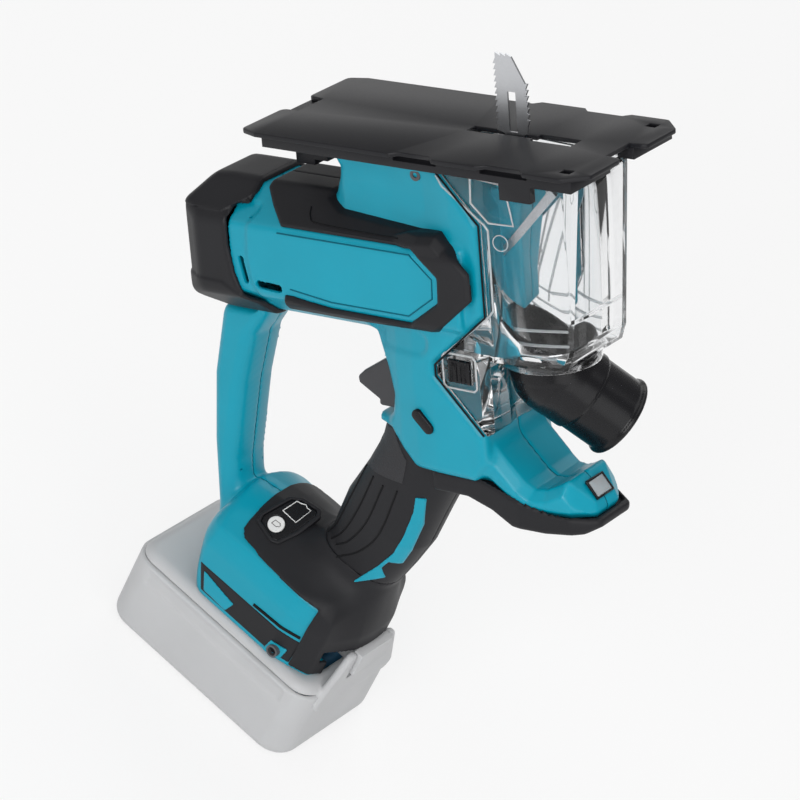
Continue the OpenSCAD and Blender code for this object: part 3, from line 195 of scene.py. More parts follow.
def surface(d, g):
    """Quads of the zero surface of d: one point per mixed cell, then drawn onto the surface."""
    shape = np.array(d.shape) - 1
    cell_ids, points, quads_at = [], [], []
    for axis in range(3):
        a = np.take(d, range(d.shape[axis] - 1), axis)
        b = np.take(d, range(1, d.shape[axis]), axis)
        at = np.argwhere((a < 0) != (b < 0))
        va, vb = a[tuple(at.T)], b[tuple(at.T)]
        p = at.astype(float)
        p[:, axis] += va / (va - vb)
        u, v = (axis + 1) % 3, (axis + 2) % 3
        ring = []
        for du, dv in ((0, 0), (1, 0), (1, 1), (0, 1)):
            c = at.copy()
            c[:, u] -= du
            c[:, v] -= dv
            ok = ((c >= 0) & (c < shape)).all(1)
            key = (c[:, 0] * shape[1] + c[:, 1]) * shape[2] + c[:, 2]
            cell_ids.append(key[ok])
            points.append(p[ok])
            ring.append(np.where(ok, key, -1))
        ring = np.stack(ring, 1)
        whole = (ring >= 0).all(1)
        ring, out = ring[whole], (va < 0)[whole]
        quads_at.append(np.where(out[:, None], ring, ring[:, ::-1]))
    keys, index = np.unique(np.concatenate(cell_ids), return_inverse=True)
    pts = np.concatenate(points)
    n = np.bincount(index)
    verts = np.stack([np.bincount(index, pts[:, k]) / n for k in range(3)], 1)
    quads = np.searchsorted(keys, np.concatenate(quads_at))
    for _ in range(2):
        value = trilinear(d, verts)
        grad = np.stack([trilinear(d, verts + h) - trilinear(d, verts - h) for h in np.eye(3) * 0.5], 1)
        size = np.maximum((grad**2).sum(1), 1e-6)
        verts += np.clip(-(value / size)[:, None] * grad, -0.5, 0.5)
    return verts * g.step + g.lo, quads


CREASE = math.radians(38)


def linked(name, data):
    """A new object in the scene."""
    ob = bpy.data.objects.new(name, data)
    bpy.context.scene.collection.objects.link(ob)
    return ob


def smoothed(me, crease=None):
    """Shades a mesh smooth, and keeps edges over the crease angle crisp."""
    me.polygons.foreach_set("use_smooth", [True] * len(me.polygons))
    if crease:
        me.set_sharp_from_angle(angle=crease)
    me.update()


def from_field(name, d, g):
    """The mesh of a field's zero surface."""
    verts, quads = surface(np.broadcast_to(d, g.shape), g)
    if g.head:
        verts = to_row(verts)
    me = bpy.data.meshes.new(name)
    me.from_pydata((verts * MM).tolist(), [], quads.tolist())
    smoothed(me, CREASE)
    return linked(name, me)


ONTO_ROUNDS, ONTO_STRIDE, ONTO_SHARE = 60, 2, 0.7


def onto(field, points, axis, sign, start):
    """Moves points along an axis (from its start value) until they lie on a field's surface."""
    p = np.array(points, float)
    p[:, axis] = start
    for _ in range(ONTO_ROUNDS):
        d = np.asarray(field(tuple(p.T)), float)
        p[:, axis] -= sign * np.clip(d, -ONTO_STRIDE, ONTO_STRIDE) * ONTO_SHARE
    return p


# Side outlines of the head (x, z), and plans (x, y)
HEAD = [(40, -135.4), (51, -135.2), (66, -148), (98, -148.6), (105, -140), (105, -126), (82, -102.4), (82, -97),
        (109.5, -72), (109.5, -32), (88.5, -9), (32, -9), (34.5, -18), (28, -32.5), (27, -60), (30, -88), (44, -93),
        (51.5, -106), (54.5, -117), (52.5, -126), (48, -130.4), (40, -131)]
TRIM = [(-80, -120), (82, -120), (82, -97), (109.5, -72), (109.5, 0), (-80, 0)]
BEAK = [(72, -147), (102, -150), (117, -161), (132, -162), (147, -162), (150.4, -159.4), (137.5, -144.8), (133, -147.6),
        (128, -149.8), (123, -149.9), (119, -147.4), (101, -128.6), (92, -120), (72, -120)]
BEAK_PLAN = [(60, -22.5), (118, -22.5), (140, -17.5), (151, -9.5), (151, 9.5), (140, 17.5), (118, 22.5), (60, 22.5)]
BUMPER = [(74, -157), (92, -157), (104, -161), (114, -166.8), (129, -168.2), (145, -167.6), (151.4, -164.4),
          (152, -160.6), (132, -158), (100, -147), (74, -147)]
BUMPER_PLAN = [(70, -23.8), (118, -23.8), (141, -18.8), (154.4, -10), (154.4, 10), (141, 18.8), (118, 23.8), (70, 23.8)]
BAR = [(-57, -206), (-44, -204), (-41, -170), (-32, -132), (-24, -108), (-13, -94), (-2, -86), (-21, -86),
       (-21, -92.5), (-41, -92.5), (-43, -98), (-50.6, -127), (-54.6, -160)]
CAP_SIDE = [(-21, -93.5), (-34, -93), (-43, -87), (-49, -76), (-49.5, -54), (-46, -42), (-36, -31), (-24, -28.6),
            (-11.5, -30), (-11.5, -40.4), (-18.8, -41), (-20, -46), (-20.2, -58), (-18, -70), (-14.5, -79), (-9, -83.6),
            (-8, -93.5)]
CAP_BACK = [(20, -95)] + CAP_SIDE[1:8] + [(20, -26)]
CAP_PLAN = [(-50, -15), (-45.5, -26), (-36, -31.5), (0, -31.6), (0, 31.6), (-36, 31.5), (-45.5, 26), (-50, 15)]
CAP_HOOD = [(-60, -42.4), (-24, -43.4), (-11, -36.8), (-5, -36), (-5, -15), (-60, -15)]
CAP_SKIRT = [(-60, -73.2), (-24.2, -74.4), (-20, -77), (-5, -85), (-5, -110), (-60, -110)]
RING = [(-26, -39.4), (-5.2, -40.2), (-9.4, -47), (-10.8, -61), (-9.2, -72), (-4, -82.5), (-26, -92)]
PAD_OUT = [(5, -85.2), (38, -85.4), (86, -82.4), (107, -63.8), (106.6, -52), (90, -36.8), (80, -38), (62, -37.8),
           (36, -36.5), (28, -33.2), (28, -10), (-7, -10), (-7, -34.4), (0.2, -39.9), (9.5, -45.8), (9.5, -75.6)]
PAD_HOLE = [(10, -45.6), (77.5, -45.3), (90.2, -56.1), (89.7, -67.1), (74.8, -78.3), (33, -78.4), (13.5, -75.8),
            (-30, -75.6), (-30, -45.6)]
PAD_END = [(66, -84), (86, -82.4), (107, -63.8), (106.6, -52), (90, -36.6), (80, -37.4), (66, -42)]
PAD_CREASE = [(20.3, -37.4), (22.4, -40.4), (28.4, -42), (61.1, -42.4), (70, -42.2)]
PANEL_LINE = [(7.4, -48.2), (76.4, -48), (87.2, -57.4), (86.8, -65.8), (74, -75.4), (34, -75.6), (12, -73)]
VENTS = [((-14.6, -63.2), (-12.4, -73.2), 1.2), ((-5, -73.4), (5.6, -73.8), 1.6)]
RECESS = [(40, -84), (74, -83), (79, -86.5), (78.6, -91), (75, -94.4), (50, -96)]
TRIGGER = [(42.5, -126.5), (59, -126.5), (59, -104), (48, -104), (44, -106.6), (36, -111.4), (32.4, -114.6),
           (32.6, -117.6), (43, -123.8)]
TRIGGER_HALF, TRIGGER_GAP = 15, 0.8

# Half width by x: of the neck above the barrel's axis, and of the body behind the trigger below it. Then the most it
# gets, and where and over what height one passes into the other.
NECK_WIDE = [(15, 12), (27, 14), (36, 18), (62, 19.6), (80, 21.4), (95, 25), (105, 26)]
BODY_WIDE = [(38, 12), (44, 14.6), (48, 17), (53, 20), (60, 23), (70, 25.2), (80, 26)]
BODY_HALF, BODY_Z, BODY_RUN = 26, -62, 22

# The neck flares under the plate: by how much, from which z and x, and over what run of each
FLARE, FLARE_Z, FLARE_RISE, FLARE_X, FLARE_RUN = 5, -25, 15, 98, 30

# The barrel: half width and height, half length of its upright and level flats, back and front end
BARREL_HALF, BARREL_HIGH, BARREL_UPRIGHT, BARREL_LEVEL, BARREL_BACK, BARREL_FRONT = 30, 29, 15.6, 12.4, -21, 100
FLAT_SHARE = 0.4

# The rear bar: half width, how far its front draws back, at which y that is reached, and up to what share of it
BAR_HALF, BAR_BULGE, BAR_BULGE_AT, BAR_BULGE_END = 13.2, 4.5, 13, 1.3

# The foot and the grip stand in the row's frame (X, Z), plans (X, y), sections (y, Z)
FOOT_X, FOOT_Z, FOOT_L, FOOT_HALF, FOOT_H, FOOT_ROUND = -33.97, 44.85, 86, 36, 52, 7.0
COVER_GROW, COVER_FILLET = 1.4, 15
FOOT_SIDE = [(0.2, -0.22), (1, -0.22), (1, 0.48), (0.86, 0.83), (0.63, 1), (0.3, 1), (0.05, 0.9), (0, 0.52)]
FOOT_SIDE = [(FOOT_X + FOOT_L * a, FOOT_Z + FOOT_H * b) for a, b in FOOT_SIDE]
FOOT_PLAN = [(0, 0.66), (0.1, 1), (0.69, 1), (0.91, 0.78), (1, 0.34)]
FOOT_PLAN = [(FOOT_X + FOOT_L * a, -FOOT_HALF * b) for a, b in FOOT_PLAN]
FOOT_PLAN = FOOT_PLAN + [(a, -b) for a, b in FOOT_PLAN[::-1]]
FOOT_SECTION = [(1, -0.22), (1, 0.52), (0.86, 0.7), (0.17, 1)]
FOOT_SECTION = [(FOOT_HALF * a, FOOT_Z + FOOT_H * b) for a, b in FOOT_SECTION]
FOOT_SECTION = FOOT_SECTION + [(-a, b) for a, b in FOOT_SECTION[::-1]]
COVER = [(35.6, 46.9), (64, 46.9), (64, 112), (-18, 112), (-17.5, 95), (-15.5, 85.6), (-12, 83.6), (4.5, 82.2),
         (36, 81.4)]
INSET = [(-23.4, 60.4), (-17.4, 47.2), (35.4, 47.2), (36.2, 61)]
TAB = [(-19.7, 57.9), (-15.7, 48.5), (-2, 47.9), (0.6, 54.2), (-6.9, 55.4)]
BOSS = [(22.3, 46), (31.4, 46.4), (32.8, 53.8), (24.2, 53.4)]
HOOK_GROOVE = [(9, 62.2), (22, 62.8), (35, 63.4)]
HOOK_AT, HOOK_R = (27.52, 49.85), 2.1
BOLT = [(46, 156), (50, 158), (53.4, 143.4), (54, 127), (52.8, 117), (48.2, 115.6), (46.6, 110.6), (49.4, 105.4),
        (38, 94), (45, 110.8), (48.4, 122), (49, 133), (48, 148)]
PATCH = [(13.6, 170), (22, 177.6), (35.4, 169.4), (38.4, 158.2), (19.6, 149.6), (17.4, 161)]
GRIP_LINES = [[(16.8, 147), (18, 130), (17.6, 112), (15, 102)], [(24, 149), (25, 130), (23.4, 114), (19, 103)],
              [(30.6, 150), (31.6, 128), (28, 112), (23, 104)], [(37.6, 153), (39.4, 128), (35, 112), (26.4, 99.6)]]

# The grip by height: half depth, half width and middle
GRIP_Z = [96, 112, 128, 148, 166, 185]
GRIP_DEEP = [18.4, 20.6, 22.2, 20.8, 20.4, 23]
GRIP_WIDE = [15.2, 16, 17, 17, 17, 17.4]
GRIP_MID = [32.6, 33.6, 34.4, 35.4, 35.8, 34.4]
GRIP_POWER, GRIP_MEAN = 2.4, 16.5

# The battery's front hump (y, Z), and half widths, heights and back end of the slot for its rails
HUMP = [(-32, 30), (32, 30), (16.5, 61.5), (-16.5, 61.5)]
RAIL_HALF, STEM_HALF, LIP_Z, RAIL_TOP, SLOT_X = 26.35, 22.35, 54.85, 61.55, -21.97


def octagon(grow):
    """The barrel's section about its axis."""
    w, h = BARREL_HALF + grow, BARREL_HIGH + grow
    flat, top = BARREL_UPRIGHT + FLAT_SHARE * grow, BARREL_LEVEL + FLAT_SHARE * grow
    return [(w, -flat), (w, flat), (top, h), (-top, h), (-w, flat), (-w, -flat), (-top, -h), (top, -h)]


def barrel_skin(h, grow, r=5):
    """The barrel's eased section, endless along its axis."""
    return eased_field(octagon(grow), r, h[1], h[2] - AXIS_Z)


def foot_field(p, grow=0.0):
    """The foot: all its upper edges well rounded, its lower rim crisp."""
    d = meet(FOOT_ROUND, polygon_field(FOOT_SIDE, p[0], p[2]) - grow, polygon_field(FOOT_PLAN, p[0], p[1]) - grow,
             polygon_field(FOOT_SECTION, p[1], p[2]) - grow)
    return meet(0.8, d, FOOT_Z - p[2])


def grip_field(p):
    """The rubber grip: waisted above the foot, fuller in the palm, drawn in below the trigger."""
    deep, wide, mid = (np.interp(p[2], GRIP_Z, row) for row in (GRIP_DEEP, GRIP_WIDE, GRIP_MID))
    q = (np.abs(p[0] - mid) / deep) ** GRIP_POWER + (np.abs(p[1]) / wide) ** GRIP_POWER
    return (q ** (1 / GRIP_POWER) - 1) * GRIP_MEAN


def cover_field(p):
    """Foot cover and grip as one rubber skin."""
    return join(foot_field(p, COVER_GROW), grip_field(p), COVER_FILLET)


def bar_field(h):
    """The rear bar of the D-handle, its front rounder than its back."""
    bulge = BAR_BULGE * np.minimum(np.abs(h[1]) / BAR_BULGE_AT, BAR_BULGE_END) ** 2
    return meet(5, polygon_field(BAR, h[0], h[2]), polygon_field(BAR, h[0] + bulge, h[2]), np.abs(h[1]) - BAR_HALF)


def head_half(x, z):
    """Half width of the head at a place of its side view."""
    flare = FLARE * np.clip((z - FLARE_Z) / FLARE_RISE, 0, 1) ** 1.5 * np.clip((FLARE_X - x) / FLARE_RUN, 0, 1)
    neck = np.interp(x, *zip(*NECK_WIDE)) + flare
    body = np.interp(x, *zip(*BODY_WIDE))
    low = np.clip((BODY_Z - z) / BODY_RUN, 0, 1)
    return np.minimum(neck + (body - neck) * low, BODY_HALF)


def head_field(h):
    """Barrel, neck, mid body and beak."""
    x, y, z = h
    barrel = meet(1.5, barrel_skin(h, 0), BARREL_BACK - x, x - BARREL_FRONT, polygon_field(TRIM, x, z))
    middle = meet(4, eased_field(HEAD, 1.5, x, z), np.abs(y) - head_half(x, z))
    beak = bevelled(eased_field(BEAK, 1.2, x, z), eased_field(BEAK_PLAN, 3, x, y), 4.4)
    return join(join(barrel, middle, 2.5), beak, 2.5)


def body_field(p):
    """The whole teal housing."""
    h = in_head(p)
    d = join(head_field(h), bar_field(h), 6)
    return join(d, foot_field(p), 9)


def battery_channel(p):
    """The room in the foot that the battery's rails slide in."""
    low = meet(0.3, np.abs(p[1]) - STEM_HALF, p[2] - LIP_Z - 1, SLOT_X - p[0])
    high = meet(0.3, np.abs(p[1]) - RAIL_HALF, np.abs(p[2] - (LIP_Z + RAIL_TOP) / 2) - (RAIL_TOP - LIP_Z) / 2,
                SLOT_X - p[0])
    return np.minimum(low, high)


def capsule(a, b, r, u, v):
    """Flat slot with round ends."""
    e = np.subtract(b, a)
    t = np.clip(((u - a[0]) * e[0] + (v - a[1]) * e[1]) / (e @ e), 0, 1)
    return np.sqrt((u - a[0] - e[0] * t) ** 2 + (v - a[1] - e[1] * t) ** 2) - r


def sunk(outline, depth, slope):
    """How far a skin is let in within an outline, with an eased border."""
    return depth * np.clip(0.5 - outline / slope, 0, 1)


# The housing: depth and border of its sunk ring and recess, floor of its room, depth of the vents, gap between halves,
# and the tower round the plunger
RING_DEEP, RING_SLOPE, RECESS_DEEP, RECESS_SLOPE = 0.9, 1.4, 1.1, 2
ROOM_FLOOR, VENT_FROM, HALF_GAP = 64.5, 24, 0.02
TOWER_X, TOWER_Z, TOWER_HALF, TOWER_BORE, TOWER_BORE_HALF = 113, -50, (8, 9, 26), 6.4, 40


def halves(node, d, g, y, slot, gap):
    """Left and right half of a piece, each in place of its own CAD node."""
    for name, side in ((node + "_left", 1), (node + "_right", -1)):
        dress(from_field("skin_" + name, np.maximum(d, side * y + gap), g), "body", slot, name)


def housing_halves():
    """The hollow teal housing, with the tower that holds the plunger's bushes."""
    g = Grid((-96, -38, 43), (118, 38, 316), 1.05)
    p, h = g.row, g.at_head
    x, y, z = h
    ring = sunk(eased_field(RING, 1.5, x, z), RING_DEEP, RING_SLOPE)
    recess = sunk(eased_field(RECESS, 2.5, x, z), RECESS_DEEP, RECESS_SLOPE)
    skin = body_field(p) + ring + recess
    room = np.maximum(skin + WALL, ROOM_FLOOR - p[2])
    d = np.maximum(skin, -room)
    for a, b, r in VENTS:
        d = np.maximum(d, -meet(0.2, capsule(a, b, r, x, z), VENT_FROM - np.abs(y)))
    long, wide, high = TOWER_HALF
    tower = meet(1, np.abs(x - TOWER_X) - long, np.abs(y) - wide, np.abs(z - TOWER_Z) - high)
    bore = meet(0.5, np.sqrt((x - TOWER_X) ** 2 + y**2) - TOWER_BORE, np.abs(z - TOWER_Z) - TOWER_BORE_HALF)
    d = np.minimum(d, np.maximum(tower, -bore))
    d = np.maximum(d, -battery_channel(p))
    slot = meet(0.6, polygon_field(TRIGGER, x, z) - TRIGGER_GAP, np.abs(y) - TRIGGER_HALF - TRIGGER_GAP)
    halves("housing", np.maximum(d, -slot), g, p[1], "teal_shell", 0)


# The rear cap: how far it and its room stand off the barrel, its wall, and its raised hood and skirt
CAP_GROW, CAP_ROOM, CAP_WALL, HOOD_GROW, HOOD_RISE = 1.6, 0.2, 2.6, 2.5, 0.7


def rear_cap():
    """The cap behind the barrel, with a raised hood and skirt."""
    g = Grid((-54, -35, -97), (-3, 35, -24), 0.7, True)
    h = g.at_head
    x, y, z = h
    side, plan = eased_field(CAP_SIDE, 1.2, x, z), eased_field(CAP_PLAN, 7, x, y)
    d = meet(2, barrel_skin(h, CAP_GROW, 7), side, plan)
    raised = meet(2.5, barrel_skin(h, HOOD_GROW, 9), side - HOOD_RISE, plan - HOOD_RISE)
    for zone in (CAP_HOOD, CAP_SKIRT):
        d = np.minimum(d, meet(0.8, raised, polygon_field(zone, x, z)))
    room = meet(1, barrel_skin(h, CAP_ROOM), plan + CAP_WALL, polygon_field(CAP_BACK, x, z) + CAP_WALL)
    dress(from_field("skin_rear_cap", np.maximum(d, -room), g), "body", "black_shell", "rear_cap")


# The pads: half width at the end, height and depth on the barrel, and the flats along their edges
PAD_HALF, PAD_GROW, PAD_SUNK, PAD_FLAT, PAD_END_FLAT = 31.8, 2.2, -0.5, 1.6, 5


def pad_top(h):
    """The pads' outer face: it follows the barrel, and stays upright round the panel's pointed end."""
    end = bevelled(np.abs(h[1]) - PAD_HALF, eased_field(PAD_END, 1.5, h[0], h[2]), PAD_END_FLAT)
    return np.minimum(barrel_skin(h, PAD_GROW, 6), end)


def barrel_pads():
    """Rubber pads above, below and in front of the barrel's panels."""
    g = Grid((-10, -35, -88), (110, 35, -14), 0.7, True)
    h = g.at_head
    x, y, z = h
    edge = np.maximum(eased_field(PAD_OUT, 1.2, x, z), -polygon_field(PAD_HOLE, x, z))
    d = np.maximum(bevelled(pad_top(h), edge, PAD_FLAT), -barrel_skin(h, PAD_SUNK))
    halves("barrel_pad", d, g, y, "black_rubber", HALF_GAP)


BUMPER_GAP = 0.1


def bumper():
    """Rubber lip under the beak and round its nose."""
    g = Grid((70, -26, -171), (157, 26, -143), 0.8, True)
    x, y, z = g.at_head
    d = meet(2.4, eased_field(BUMPER, 1.5, x, z), eased_field(BUMPER_PLAN, 4, x, y))
    beak = np.maximum(eased_field(BEAK, 1.2, x, z), eased_field(BEAK_PLAN, 3, x, y))
    d = np.maximum(d, -(beak - BUMPER_GAP))
    dress(from_field("skin_beak_bumper", d, g), "body", "black_rubber", "beak_bumper")


# The rubber of grip and foot: where it starts and ends, its wall, and the seam between sleeve and cover
SLEEVE_LOW, SLEEVE_MARGIN, SLEEVE_TOP, SLEEVE_WALL, SLEEVE_FLOOR = 104, 4, -131.5, 2.4, 60
COVER_SUNK, COVER_TOP, COVER_SEAM = -0.4, 100, 0.05


def grip_and_cover():
    """Rubber over the foot and the grip: one skin, parted at the top of the foot and along the middle."""
    g = Grid((-26, -40, 45), (66, 40, 196), 0.85)
    p, h = g.row, g.at_head
    grip = grip_field(p)
    mask = np.minimum(polygon_field(COVER, p[0], p[2]), np.maximum(SLEEVE_LOW - p[2], grip - SLEEVE_MARGIN))
    skin = meet(0.9, cover_field(p), mask, h[2] - SLEEVE_TOP)
    hollow = np.minimum(foot_field(p, COVER_SUNK), np.maximum(grip + SLEEVE_WALL, SLEEVE_FLOOR - p[2]))
    skin = np.maximum(np.maximum(skin, -hollow), -battery_channel(p))
    cover = from_field("skin_foot_cover", np.maximum(skin, p[2] - COVER_TOP), g)
    dress(cover, "body", "black_rubber", "foot_cover")
    halves("grip_sleeve", np.maximum(skin, COVER_TOP + COVER_SEAM - p[2]), g, p[1], "black_rubber", HALF_GAP)


INLAY_FROM = 3


def side_grid(x, y, z, side):
    """A fine grid on one side of the tool: each range is (from, to), y counted outwards."""
    near, far = sorted((side * y[0], side * y[1]))
    return Grid((x[0], near, z[0]), (x[1], far, z[1]), 0.5)


def inlay(name, field, outline, g, side, proud, deep, slot, hole=None, finish=None):
    """A thin piece let into a skin, with its outline seen from the side."""
    p = g.row
    d = meet(0.35, field - proud, eased_field(outline, 0.5, p[0], p[2]), INLAY_FROM - side * p[1])
    d = np.maximum(d, -(field + deep))
    if hole is not None:
        d = np.maximum(d, -hole)
    return dress(from_field(name, d, g), "body", slot, finish=finish)


SIDES = (("left", -1), ("right", 1))


def grip_trim():
    """The teal inlay and the stippled patch on each side of the grip."""
    for name, side in SIDES:
        g = side_grid((32, 60), (0, 20), (86, 164), side)
        inlay("grip_inlay_" + name, cover_field(g.row), BOLT, g, side, 0.5, 0.8, "teal_shell")
        g = side_grid((10, 42), (0, 20), (146, 181), side)
        inlay("grip_patch_" + name, cover_field(g.row), PATCH, g, side, 0.35, 0.8, "black_rubber", finish="stipple")


def foot_trim():
    """Side inset, tab and hook boss on both sides of the foot."""
    for name, side in SIDES:
        g = side_grid((-26, 40), (18, 40), (45, 66), side)
        p = g.row
        foot = foot_field(p)
        hole = np.sqrt((p[0] - HOOK_AT[0]) ** 2 + (p[2] - HOOK_AT[1]) ** 2) - HOOK_R
        inlay("foot_inset_" + name, foot, INSET, g, side, 0.3, 0.9, "black_shell")
        inlay("foot_tab_" + name, foot, TAB, g, side, 1.1, -0.2, "teal_shell")
        inlay("hook_boss_" + name, foot, BOSS, g, side, 1.2, -0.2, "teal_shell", hole)


def trigger():
    """Trigger with its hooked lower end."""
    g = Grid((31, -17, -129), (62, 17, -102), 0.55, True)
    x, y, z = g.at_head
    d = meet(1.2, eased_field(TRIGGER, 1.4, x, z), np.abs(y) - TRIGGER_HALF)
    dress(from_field("skin_trigger", d, g), "trigger", "dark_grey", "trigger")


# The elbow: its axis and heights, run to the seam and to the outlet, radii, and the seat of its seal ring
ELBOW_X, ELBOW_TOP, ELBOW_JOINT, ELBOW_L, ELBOW_SEAM = 124.4, -86.2, -102, 37, 16
ELBOW_FALL, ELBOW_TURN = math.radians(43), math.radians(45)
ELBOW_R, OUTLET_R, LIP_R, LIP_L, COLLAR_R, COLLAR_LOW, COLLAR_HIGH = 18, 17.2, 18.3, 2.6, 18.9, 3.2, 1.2
NECK_BORE, BEND_BORE, OUTLET_BORE, SEAT_Z, SEAT_HALF, SEAT_R = 16, 15.8, 15.9, -93, 1.05, 16.85


def elbow():
    """Elbow nozzle: an upright neck, a bend that ends in a seam ring, and a lipped outlet."""
    way = np.array([math.cos(ELBOW_FALL) * math.cos(ELBOW_TURN), math.cos(ELBOW_FALL) * math.sin(ELBOW_TURN),
                    -math.sin(ELBOW_FALL)])
    top, joint = np.array([ELBOW_X, 0, ELBOW_TOP]), np.array([ELBOW_X, 0, ELBOW_JOINT])
    end = joint + way * ELBOW_L
    g = Grid((103, -21, -146), (162, 40, -84), 0.7, True)
    h = g.at_head
    outer = join(rod(h, top, joint, ELBOW_R, 0.5), tube(h, joint, joint + way * 3, ELBOW_R), 1.5)
    outer = join(outer, rod(h, joint, joint + way * ELBOW_SEAM, ELBOW_R, 0.3), 1)
    outer = np.minimum(outer, rod(h, joint + way * (ELBOW_SEAM - 1), end, OUTLET_R, 0.5))
    outer = join(outer, rod(h, end - way * LIP_L, end, LIP_R, 1.1), 0.6)
    outer = np.minimum(outer, rod(h, top - [0, 0, COLLAR_LOW], top - [0, 0, COLLAR_HIGH], COLLAR_R, 0.4))
    inner = np.minimum(rod(h, top + [0, 0, 5], joint, NECK_BORE, 0.1), tube(h, joint, joint + way, BEND_BORE))
    inner = np.minimum(inner, rod(h, joint, end + way * 5, OUTLET_BORE, 0.1))
    seat = np.maximum(np.abs(h[2] - SEAT_Z) - SEAT_HALF, SEAT_R - np.sqrt((h[0] - ELBOW_X) ** 2 + h[1] ** 2))
    d = np.maximum(np.maximum(outer, -inner), -seat)
    dress(from_field("skin_elbow_nozzle", d, g), "nozzle", "gloss_black", "elbow_nozzle")


# The battery: plan, tub, sunk flanks, lid, rails, front hump, and the rooms cut into it (low and high corner)
PACK_PLAN = [(-55, -37.5), (55, -37.5), (55, 37.5), (-55, 37.5)]
TUB_TOP, FLANK_Z, FLANK_HIGH, FLANK_LONG, FLANK_FROM = 40.0, 34, 3.6, 42, 36.9
LID_EDGE, LID_SLOPE, LID_IN, LID_SEAM, LID_TOP = 41.2, 0.9, 1.6, 0.06, 44.5
RAIL_PLAY, RAIL_TOP_PLAY, RAIL_Z, RAIL_HIGH, RAIL_BACK, RAIL_FRONT, RAIL_LOW = 0.7, 0.4, 58.2, 3, -21.6, 42.5, 42
HUMP_X, HUMP_THICK = 54.4, 2
TUB_ROOM = ((-52, -34.5, 3), (52, 34.5, 50))
BUTTON_ROOM = ((51, -12.6, 45.5), (62, 12.6, 66))
RAIL_ROOM = ((-20, -18, 38), (46, 18, 64))


def battery():
    """Battery: rounded tub with sunk flanks, chamfered cover with its rails and front hump."""
    g = Grid((-60, -39, -1), (60, 39, 64), 0.9)
    p = g.row
    tub = meet(4.5, eased_field(PACK_PLAN, 13, p[0], p[1]), -p[2])
    tub = meet(1.2, tub, p[2] - TUB_TOP)
    flank = meet(1, np.abs(p[2] - FLANK_Z) - FLANK_HIGH, np.abs(p[0]) - FLANK_LONG, FLANK_FROM - np.abs(p[1]))
    tub = np.maximum(carve(tub, flank, 1), -block(p, *TUB_ROOM, 8))
    dress(from_field("skin_battery_case", tub, g), "battery", "pale_grey", "battery_case")
    slope = np.clip((p[2] - LID_EDGE) * LID_SLOPE, -3, 4)
    lid = meet(2, eased_field(PACK_PLAN, 12, p[0], p[1]) + slope + LID_IN, TUB_TOP + LID_SEAM - p[2], p[2] - LID_TOP)
    stem = np.maximum(np.abs(p[1]) - STEM_HALF + RAIL_PLAY, p[2] - RAIL_TOP + RAIL_TOP_PLAY)
    rail = np.maximum(np.abs(p[1]) - RAIL_HALF + RAIL_PLAY, np.abs(p[2] - RAIL_Z) - RAIL_HIGH)
    rails = meet(0.5, np.minimum(stem, rail), RAIL_BACK - p[0], p[0] - RAIL_FRONT, RAIL_LOW - p[2])
    hump = meet(1.6, np.abs(p[0] - HUMP_X) - HUMP_THICK, eased_field(HUMP, 5, p[1], p[2]))
    cover = np.minimum(join(lid, hump, 2), rails)
    cover = np.maximum(cover, -block(p, *BUTTON_ROOM, 0.3))
    cover = np.maximum(cover, -block(p, *RAIL_ROOM, 1))
    dress(from_field("skin_battery_cover", cover, g), "battery", "pale_grey", "battery_cover")


